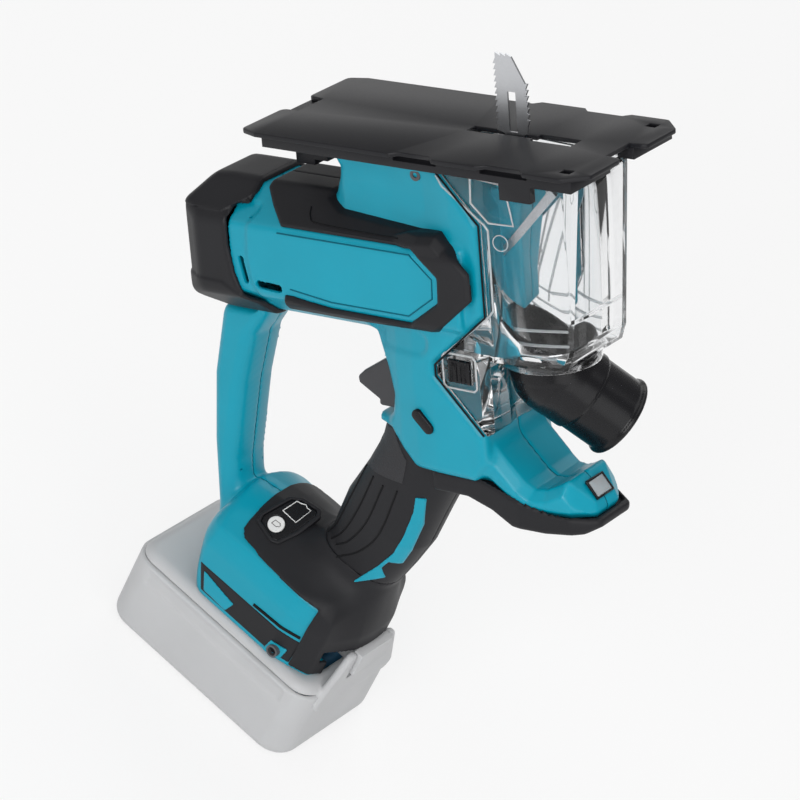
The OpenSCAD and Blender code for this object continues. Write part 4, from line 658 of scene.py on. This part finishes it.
# Finishes by slot of the record, and some looks of this script alone: darker and lighter colour, roughness,
# grain in mm, bump, and what else the shader takes
FINISHES = {
    "teal_shell": ((0.0, 0.295, 0.41), (0.0, 0.33, 0.46), 0.33, 0.35, 0.05, dict(shine=0.35, parting=True)),
    # Painted shade: a darker teal for the lines in the grooves round the barrel's panels
    "teal_groove_shade": ((0.0, 0.11, 0.16), (0.0, 0.14, 0.2), 0.5, 0.35, 0.05, dict(shine=0.2)),
    "black_shell": ((0.009, 0.009, 0.011), (0.014, 0.014, 0.017), 0.46, 0.4, 0.16, dict(shine=0.28)),
    "black_rubber": ((0.009, 0.009, 0.011), (0.015, 0.015, 0.018), 0.52, 0.3, 0.12, dict(shine=0.28)),
    "stipple": ((0.014, 0.014, 0.017), (0.026, 0.026, 0.03), 0.62, 0.9, 0.9),
    "gloss_black": ((0.004, 0.004, 0.005), (0.008, 0.008, 0.01), 0.27, 0.6, 0.01, dict(shine=0.28)),
    "white_plastic": ((0.74, 0.74, 0.73), (0.82, 0.82, 0.81), 0.4, 0.3, 0.03),
    "dark_grey": ((0.03, 0.03, 0.034), (0.042, 0.042, 0.047), 0.45, 0.3, 0.08),
    "clear_plastic": ((0.94, 0.95, 0.96), (0.98, 0.985, 0.99), 0.03, 3, 0.0, dict(clear=1.0)),
    # Whitish and half clear: the clear box's real frames, posts, steps and marks, their whiteness a painted highlight
    "clear_edge_highlight": ((0.84, 0.87, 0.89), (0.93, 0.95, 0.96), 0.12, 2, 0.02, dict(clear=0.55)),
    "lens": ((0.6, 0.62, 0.64), (0.9, 0.92, 0.93), 0.06, 3, 0.3, dict(clear=0.5)),
    "plate_steel": ((0.008, 0.008, 0.01), (0.013, 0.013, 0.016), 0.38, 0.5, 0.05, dict(shine=0.28)),
    "bright_steel": ((0.5, 0.51, 0.53), (0.66, 0.67, 0.69), 0.28, 0.25, 0.04, dict(metal=1.0)),
    "cast_alloy": ((0.48, 0.49, 0.5), (0.6, 0.61, 0.62), 0.5, 0.5, 0.12, dict(metal=1.0)),
    "bronze": ((0.42, 0.27, 0.1), (0.55, 0.37, 0.15), 0.42, 0.3, 0.08, dict(metal=1.0)),
    "copper_winding": ((0.3, 0.11, 0.04), (0.48, 0.2, 0.08), 0.38, 0.8, 0.3, dict(metal=0.7)),
    "magnet_grey": ((0.08, 0.08, 0.085), (0.13, 0.13, 0.14), 0.55, 0.4, 0.1, dict(metal=0.3)),
    "board_green": ((0.015, 0.12, 0.035), (0.03, 0.18, 0.06), 0.4, 1.2, 0.08),
    "pale_grey": ((0.5, 0.505, 0.515), (0.56, 0.565, 0.575), 0.45, 0.35, 0.05),
    "cell_wrap": ((0.05, 0.2, 0.38), (0.08, 0.27, 0.46), 0.35, 2, 0.05),
    "seal_black": ((0.003, 0.003, 0.004), (0.006, 0.006, 0.007), 0.6, 0.3, 0.05, dict(shine=0.2)),
}


# Size of colour clouds and depth of relief (mm), change of roughness; the half width (mm) of the painted shade along
# the parting line, and how dark that painted shade is
CLOUD, RELIEF, SHEEN_SPAN, SHEEN_LEAST, CLEAR_IOR = 24, 0.3, 0.05, 0.02, 1.4
PARTING_FROM, PARTING_TO, PARTING_SHADE = 0.12, 0.34, 0.3


def wire(tree, node, sockets):
    """Links a node's sockets to other nodes' outputs, or sets them to plain values."""
    for key, value in sockets.items():
        if isinstance(value, bpy.types.NodeSocket):
            tree.links.new(value, node.inputs[key])
        else:
            node.inputs[key].default_value = value


def add(tree, kind, sockets, **facts):
    """A new node with its facts and sockets filled in."""
    node = tree.nodes.new(kind)
    for fact, value in facts.items():
        setattr(node, fact, value)
    wire(tree, node, sockets)
    return node


def blend(tree, share, a, b):
    """A colour that goes from a to b as the share goes from 0 to 1."""
    return add(tree, "ShaderNodeMix", {0: share, 6: a, 7: b}, data_type="RGBA").outputs[2]


def noise(tree, place, size, detail):
    """Cloudy values, with spots of a size in mm."""
    sockets = {"Scale": 1 / (size * MM), "Detail": detail, "Vector": place}
    return add(tree, "ShaderNodeTexNoise", sockets).outputs["Fac"]


def finish_material(name, low, high, rough, grain, bump, metal=0.0, clear=0.0, shine=0.5, parting=False):
    """A moulded or metal finish: clouded colour, grained surface, a little sheen change, and where asked a painted
    shade along the parting line.
    """
    m = bpy.data.materials.new(name)
    m.use_nodes = True
    tree = m.node_tree
    shader = tree.nodes["Principled BSDF"]
    place = add(tree, "ShaderNodeTexCoord", {}).outputs["Object"]
    cloud, fine = noise(tree, place, CLOUD, 3), noise(tree, place, grain, 2)
    colour = blend(tree, cloud, (*low, 1), (*high, 1))
    # Painted shade: a thin darker line along y = 0, where the two halves of the housing meet
    if parting:
        apart = add(tree, "ShaderNodeSeparateXYZ", {0: place})
        off = add(tree, "ShaderNodeMath", {0: apart.outputs["Y"]}, operation="ABSOLUTE")
        near = add(tree, "ShaderNodeMapRange", {
            "From Min": PARTING_FROM * MM, "From Max": PARTING_TO * MM, "To Min": 1, "To Max": 0,
            "Value": off.outputs[0]})
        colour = blend(tree, near.outputs[0], colour, (*(c * PARTING_SHADE for c in low), 1))
    span = add(tree, "ShaderNodeMapRange", {
        "To Min": max(rough - SHEEN_SPAN, SHEEN_LEAST), "To Max": rough + SHEEN_SPAN, "Value": fine})
    relief = add(tree, "ShaderNodeBump", {"Strength": bump, "Distance": RELIEF * MM, "Height": fine})
    wire(tree, shader, {"Base Color": colour, "Roughness": span.outputs[0], "Normal": relief.outputs[0],
                        "Metallic": metal, "Specular IOR Level": shine})
    if clear:
        wire(tree, shader, {"Transmission Weight": clear, "IOR": CLEAR_IOR})
    return m


materials = {name: finish_material(name, *row[:5], **dict(*row[5:])) for name, row in FINISHES.items()}


def dress(ob, body, slot, *stands_for, finish=None):
    """Gives a piece its finish, the body it moves with and the CAD nodes it stands for."""
    ob.data.materials.clear()
    ob.data.materials.append(materials[finish or slot])
    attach(ob, body)
    if stands_for:
        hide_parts(*stands_for)
    return ob


# Easing of CAD nodes: what counts as one corner (mm), as flat, as an edge to ease, and as a crease
MERGE, FLAT_TURN, EDGE_TURN, EASED_CREASE = 0.002, math.radians(0.5), math.radians(28), math.radians(40)


def softened(node, width):
    """A copy of a CAD node with its corners merged and its outer edges eased."""
    bm = bmesh.new()
    bm.from_mesh(nodes[node].data)
    bmesh.ops.remove_doubles(bm, verts=bm.verts, dist=MERGE * MM)
    bmesh.ops.dissolve_limit(bm, angle_limit=FLAT_TURN, verts=bm.verts, edges=bm.edges)
    sharp = [e for e in bm.edges if e.is_manifold and e.is_convex and e.calc_face_angle(0) > EDGE_TURN]
    bmesh.ops.bevel(bm, geom=sharp, offset=width * MM, segments=2, profile=0.5, affect="EDGES", clamp_overlap=True)
    bmesh.ops.triangulate(bm, faces=[f for f in bm.faces if len(f.verts) > 4])
    me = bpy.data.meshes.new("eased_" + node)
    bm.to_mesh(me)
    bm.free()
    smoothed(me, EASED_CREASE)
    return linked("eased_" + node, me)


# What follows a line is made by Geometry Nodes
BEAD_SIDES = 8


def line_tree():
    """A round bead along each chain of edges."""
    tree = bpy.data.node_groups.new("bead_along_line", "GeometryNodeTree")
    for label, kind in (("Geometry", "Geometry"), ("Radius", "Float"), ("Finish", "Material")):
        tree.interface.new_socket(label, in_out="INPUT", socket_type="NodeSocket" + kind)
    tree.interface.new_socket("Geometry", in_out="OUTPUT", socket_type="NodeSocketGeometry")
    start, end = tree.nodes.new("NodeGroupInput").outputs, tree.nodes.new("NodeGroupOutput")
    curve = add(tree, "GeometryNodeMeshToCurve", {"Mesh": start["Geometry"]})
    ring = add(tree, "GeometryNodeCurvePrimitiveCircle", {"Resolution": BEAD_SIDES, "Radius": start["Radius"]})
    sweep = add(tree, "GeometryNodeCurveToMesh", {
        "Curve": curve.outputs[0], "Profile Curve": ring.outputs["Curve"], "Fill Caps": True})
    real = add(tree, "GeometryNodeRealizeInstances", {0: sweep.outputs[0]})
    paint = add(tree, "GeometryNodeSetMaterial", {"Geometry": real.outputs[0], "Material": start["Finish"]})
    wire(tree, end, {0: paint.outputs[0]})
    return tree


BEAD_TREE = line_tree()


def eased_path(points, steps=8):
    """Points along a smooth curve through the given ones."""
    p = np.asarray(points, float)
    ext = np.vstack([2 * p[0] - p[1], p, 2 * p[-1] - p[-2]])
    out = []
    for i in range(1, len(ext) - 2):
        a, b, c, d = ext[i - 1 : i + 3]
        square, cube = 2 * a - 5 * b + 4 * c - d, 3 * b - a - 3 * c + d
        for t in np.linspace(0, 1, steps, endpoint=False):
            out.append(0.5 * (2 * b + (c - a) * t + square * t**2 + cube * t**3))
    return np.array(out + [p[-1]])


def beads(name, lines, radius, slot, body, head=False, finish=None):
    """Thin round beads along lines given in mm, kept as a plain mesh."""
    base = bpy.data.meshes.new(name + "_lines")
    verts, edges = [], []
    for line in lines:
        line = to_row(line) if head else np.asarray(line, float)
        edges += [(len(verts) + i, len(verts) + i + 1) for i in range(len(line) - 1)]
        verts += (line * MM).tolist()
    base.from_pydata(verts, edges, [])
    seed = linked(name + "_base", base)
    mod = seed.modifiers.new("made", "NODES")
    mod.node_group = BEAD_TREE
    values = {"Radius": radius * MM, "Finish": materials[slot]}
    for item in BEAD_TREE.interface.items_tree:
        if item.in_out == "INPUT" and item.name in values:
            mod[item.identifier] = values[item.name]
    me = bpy.data.meshes.new_from_object(seed.evaluated_get(bpy.context.evaluated_depsgraph_get()))
    me.name = name
    seed.modifiers.remove(mod)
    bpy.data.objects.remove(seed)
    smoothed(me)
    return dress(linked(name, me), body, slot, finish=finish)


def skin_line(field, line, side, start):
    """An eased line of a side view, laid on a skin."""
    path = eased_path(line)
    flat = np.column_stack([path[:, 0], np.zeros(len(path)), path[:, 1]])
    return onto(field, flat, 1, side, side * start)


PANEL_HALF = 30.02


def grooves():
    """Painted shade in the grooves: dark lines round the barrel's panels, along the pads, above the hook and down the
    grip.
    """
    for name, side in SIDES:
        panel = [(x, side * PANEL_HALF, z) for x, z in PANEL_LINE]
        beads("panel_groove_" + name, [panel], 0.35, "teal_shell", "body", head=True, finish="teal_groove_shade")
        hook = skin_line(foot_field, HOOK_GROOVE, side, 40)
        beads("hook_groove_" + name, [hook], 0.8, "seal_black", "body")
        crease = skin_line(pad_top, PAD_CREASE, side, 34)
        beads("pad_crease_" + name, [crease], 0.4, "seal_black", "body", head=True)
        lines = [skin_line(cover_field, line, side, 20) for line in GRIP_LINES]
        beads("grip_grooves_" + name, lines, 0.45, "seal_black", "body")


# The gauge lies on the near slope of the foot: places on it are (u along X, s up the slope)
GAUGE_AT, GAUGE_SLOPE = (-4.73, -16.92, 91.3), math.radians(32.13)
GAUGE_RIM = [(-8.8, -4.8), (-9.5, -0.8), (-5.8, 13.6), (-0.7, 17.5), (9.2, 19), (11.6, 15.8), (10.1, 3.7), (6.6, -6.3),
             (3, -7.8)]
GAUGE_WINDOW = [(-6.9, -3.6), (-7.9, -0.5), (-4.1, 13.2), (-0.4, 15.9), (8.1, 17.2), (9.4, 15), (8, 3.6), (4.9, -5.3),
                (2.6, -6.1)]
GAUGE_MARK = [(-3.2, 6.8), (-1.7, 14.4), (0.6, 14.9), (2.4, 15.9), (3.9, 15.1), (6, 15.3), (5, 6.6), (-3.2, 6.8)]
BUTTON_MARK = [(-2.6, -1), (-2.2, 1.2), (0.6, 1.4), (0.8, 0.8), (1.3, 0.8), (1.2, -0.2), (0.6, -0.3), (0.3, -0.9),
               (-2.6, -1)]
GAUGE_DEEP, RIM_RISE, GLASS_RISE, GLASS_GAP, BUTTON_RISE, BUTTON_GAP, BUTTON_WELL = 1, 1.5, 0.9, 0.05, 1.3, 0.35, -0.6
BUTTON_AT, BUTTON_R = (-0.8, 0.1), 3.9


def on_gauge(points, n):
    """Points of the gauge's slope, raised by n, in the row's frame."""
    c, s = math.cos(GAUGE_SLOPE), math.sin(GAUGE_SLOPE)
    return [(GAUGE_AT[0] + u, GAUGE_AT[1] + v * c - n * s, GAUGE_AT[2] + v * s + n * c) for u, v in points]


def gauge():
    """Raised rim, gloss window, round check button and battery marks."""
    g = Grid((-17, -28, 82), (10, 4, 106), 0.35)
    p = g.row
    c, s = math.cos(GAUGE_SLOPE), math.sin(GAUGE_SLOPE)
    u = p[0] - GAUGE_AT[0]
    v = (p[1] - GAUGE_AT[1]) * c + (p[2] - GAUGE_AT[2]) * s
    n = (p[2] - GAUGE_AT[2]) * c - (p[1] - GAUGE_AT[1]) * s
    window = eased_field(GAUGE_WINDOW, 1, u, v)
    disc = np.sqrt((u - BUTTON_AT[0]) ** 2 + (v - BUTTON_AT[1]) ** 2) - BUTTON_R
    rim = np.maximum(meet(0.6, eased_field(GAUGE_RIM, 1.5, u, v), n - RIM_RISE, -n - GAUGE_DEEP), -window)
    dress(from_field("gauge_rim", rim, g), "body", "black_rubber")
    glass = meet(0.3, window + GLASS_GAP, n - GLASS_RISE, -n - GAUGE_DEEP)
    glass = np.maximum(glass, -meet(0.1, disc - BUTTON_GAP, BUTTON_WELL - n))
    dress(from_field("skin_gauge_panel", glass, g), "body", "gloss_black", "gauge_panel")
    cap = meet(0.4, disc, n - BUTTON_RISE, -n)
    dress(from_field("skin_check_button", cap, g), "gauge_check", "white_plastic", "check_button")
    beads("gauge_mark", [on_gauge(GAUGE_MARK, GLASS_RISE)], 0.24, "white_plastic", "body")
    beads("button_mark", [on_gauge(BUTTON_MARK, BUTTON_RISE)], 0.16, "seal_black", "gauge_check")


# Dust box: lines of its walls in side view, and round ejector marks (x, z, side)
BOX_EDGE = [(89.4, -13), (92, -17.4), (112, -31.6), (113.6, -33.8), (113.4, -69), (111.4, -71.6), (86.5, -92.5)]
BOX_WINDOW = [(106.5, -11.7), (122.3, -13.6), (125.4, -30.8), (114.2, -30.6), (106, -22.8), (106.5, -11.7)]
BOX_POSTS = [[(118.9, -12), (118.9, -43.9), (113.8, -79.1)], [(126.4, -12), (126.4, -42), (121, -82.4)]]
BOX_STEPS = [[(103, -79), (146, -75)], [(98, -86), (146, -81.5)], [(96, -89.5), (140, -88)]]
BOX_MARKS = [(118.9, -38.8, -1), (111.7, -66.8, 1), (138, -40, 1)]
BOX_SEAL = [(88.8, -10), (109.8, -32), (109.8, -72.2), (82.3, -97.2), (82.3, -102.4), (105, -126)]
LATCH_FRAME = [(87, -91.4), (101, -91.4), (102.4, -93), (102.4, -105.6), (101, -107), (87, -107), (85.6, -105.6),
               (85.6, -93), (87, -91.4)]
WALL_X, WALL_HALF, INNER, SEAL_HALF, MARK_R = [112, 148, 158], [24.5, 20.1, 17.6], -2.4, 25.7, 3.4


def box_wall(line, side, off=0.0):
    """Points of a side view, on a wall of the dust box."""
    return [(x, side * (np.interp(x, WALL_X, WALL_HALF) + off), z) for x, z in line]


def dust_box_lines():
    """Frames, posts, floor steps and ejector marks of the clear box, as whitish beads that are partly painted
    highlight, and the dark seal it meets.
    """
    clear = dict(slot="clear_plastic", body="dust_cup", head=True, finish="clear_edge_highlight")
    frames = [box_wall(line, side) for line in (BOX_EDGE, BOX_WINDOW) for side in (-1, 1)]
    beads("box_frames", frames + [box_wall(LATCH_FRAME, -1)], 0.5, **clear)
    seal = [[(x, side * SEAL_HALF, z) for x, z in BOX_SEAL] for side in (-1, 1)]
    beads("box_seal", seal, 0.45, "seal_black", "body", head=True)
    steps = [box_wall(line, side, INNER) for line in BOX_STEPS for side in (-1, 1)]
    posts = [box_wall(line, 1, INNER) for line in BOX_POSTS]
    beads("box_posts", posts + steps, 0.6, **clear)
    ring = [(MARK_R * math.cos(t), MARK_R * math.sin(t)) for t in np.linspace(0, 2 * math.pi, 33)]
    marks = [box_wall([(x + a, z + b) for a, b in ring], side) for x, z, side in BOX_MARKS]
    beads("box_marks", marks, 0.25, **clear)


LENS_AT, LENS_TURN, LENS_HALF = (143.2, -151.6), math.radians(51), (4.1, 5.9)
LENS_RISE = 1.3


def lens_frame():
    """Dark border round the lamp's lens."""
    (x, z), (a, b) = LENS_AT, LENS_HALF
    c, s = math.cos(LENS_TURN), math.sin(LENS_TURN)
    corners = ((-a, -b), (a, -b), (a, b), (-a, b), (-a, -b))
    ring = [(x + u * c + LENS_RISE * s, v, z - u * s + LENS_RISE * c) for u, v in corners]
    beads("lens_frame", [ring], 0.7, "gloss_black", "body", head=True)


OTHER_FINISH = {"lamp_lens": "lens", "depth_screw": "magnet_grey", "housing_screws": "magnet_grey",
                "hook_insert": "magnet_grey"}
EASED = {"base_plate": 0.35, "plate_frame": 0.4, "dust_box": 0.5, "box_latch": 0.35, "lock_button": 0.5,
         "blade_clamp": 0.3, "battery_button": 0.5, "lamp_lens": 0.3}


def keep_cad():
    """Every CAD node still shown takes its slot's finish; the crisp ones get eased edges."""
    slots = {s["node"]: s["material_slot"] for s in frame["record"]["subparts"]}
    body_of = {n: b for b, members in frame["record"]["behaviour"]["bodies"].items() for n in members}
    for node, width in EASED.items():
        dress(softened(node, width), body_of[node], slots[node], node, finish=OTHER_FINISH.get(node))
    for node, ob in nodes.items():
        if not ob.hide_render:
            ob.data.materials.clear()
            ob.data.materials.append(materials[OTHER_FINISH.get(node, slots[node])])


# Stage, light and camera
FLOOR_HALF, FLOOR_GREY, GLOW_SHARE = 6.0, 0.9, 0.75

# Lamps: name, place and size in metres, watts
LAMPS = [("key", (0.35, -1.8, 1.3), 1.2, 22), ("overhead", (0.1, 0.2, 1.9), 1.8, 11),
         ("fill", (1.6, -0.9, 0.9), 1.4, 9), ("left", (-1.6, -0.7, 0.8), 1.0, 2), ("back", (-0.6, 1.5, 1.3), 1.2, 6)]
LAMP_AIM = (0, 0, 0.18)
WORLD_LIGHT = 0.28

# The photo's camera in the head's frame: turn, fall and roll, the place looked at (mm), how far off (mm), the lens
VIEW_TURN, VIEW_FALL, VIEW_ROLL = math.radians(37.54), math.radians(21.74), math.radians(-4.74)
VIEW_AT, VIEW_OFF, LENS, SENSOR = (42.68, 0, -129.61), 1666.39, 173.57, 36


def floor():
    """White floor that takes soft shadows and glows a little towards the camera."""
    me = bpy.data.meshes.new("floor")
    s = FLOOR_HALF
    me.from_pydata([(-s, -s, 0), (s, -s, 0), (s, s, 0), (-s, s, 0)], [], [(0, 1, 2, 3)])
    ob = linked("floor", me)
    m = bpy.data.materials.new("floor")
    m.use_nodes = True
    tree = m.node_tree
    tree.nodes.remove(tree.nodes["Principled BSDF"])
    matt = add(tree, "ShaderNodeBsdfDiffuse", {"Color": (FLOOR_GREY, FLOOR_GREY, FLOOR_GREY, 1)})
    glow = add(tree, "ShaderNodeEmission", {})
    path = add(tree, "ShaderNodeLightPath", {}).outputs
    seen = path["Is Camera Ray"]
    for ray in ("Is Transmission Ray", "Is Glossy Ray"):
        seen = add(tree, "ShaderNodeMath", {0: seen, 1: path[ray]}, operation="MAXIMUM").outputs[0]
    share = add(tree, "ShaderNodeMath", {0: seen, 1: GLOW_SHARE}, operation="MULTIPLY")
    mix = add(tree, "ShaderNodeMixShader", {0: share.outputs[0], 1: matt.outputs[0], 2: glow.outputs[0]})
    wire(tree, tree.nodes["Material Output"], {"Surface": mix.outputs[0]})
    me.materials.append(m)


def light(name, at, size, watts):
    """A soft square lamp aimed at the tool's middle."""
    data = bpy.data.lights.new(name, "AREA")
    data.size, data.energy = size, watts
    ob = linked(name, data)
    ob.location = at
    ob.rotation_euler = (Vector(LAMP_AIM) - Vector(at)).to_track_quat("-Z", "Y").to_euler()


def camera():
    """The photograph's view: a long lens to the right of the blade side, looking down."""
    level = math.cos(VIEW_FALL)
    ahead = np.array([-math.sin(VIEW_TURN) * level, math.cos(VIEW_TURN) * level, -math.sin(VIEW_FALL)])
    right = np.array([math.cos(VIEW_TURN), math.sin(VIEW_TURN), 0])
    up = np.cross(right, ahead)
    c, s = math.cos(VIEW_ROLL), math.sin(VIEW_ROLL)
    right, up = right * c + up * s, up * c - right * s
    eye = to_row([np.array(VIEW_AT) - ahead * VIEW_OFF])[0] * MM
    axes = HEAD_ROT @ np.column_stack([right, up, -ahead])
    data = bpy.data.cameras.new("camera")
    data.lens, data.sensor_width, data.clip_end = LENS, SENSOR, 100
    ob = linked("camera", data)
    ob.matrix_world = Matrix([(*axes[i], eye[i]) for i in range(3)] + [(0, 0, 0, 1)])
    bpy.context.scene.camera = ob


def world():
    """Plain white surroundings."""
    w = bpy.data.worlds.new("studio")
    w.use_nodes = True
    wire(w.node_tree, w.node_tree.nodes["Background"], {"Color": (1, 1, 1, 1), "Strength": WORLD_LIGHT})
    bpy.context.scene.world = w


housing_halves()
rear_cap()
barrel_pads()
bumper()
grip_and_cover()
grip_trim()
foot_trim()
trigger()
elbow()
battery()
grooves()
gauge()
dust_box_lines()
lens_frame()
keep_cad()
floor()
for lamp in LAMPS:
    light(*lamp)
camera()
world()
bpy.context.scene.view_settings.view_transform = "Standard"
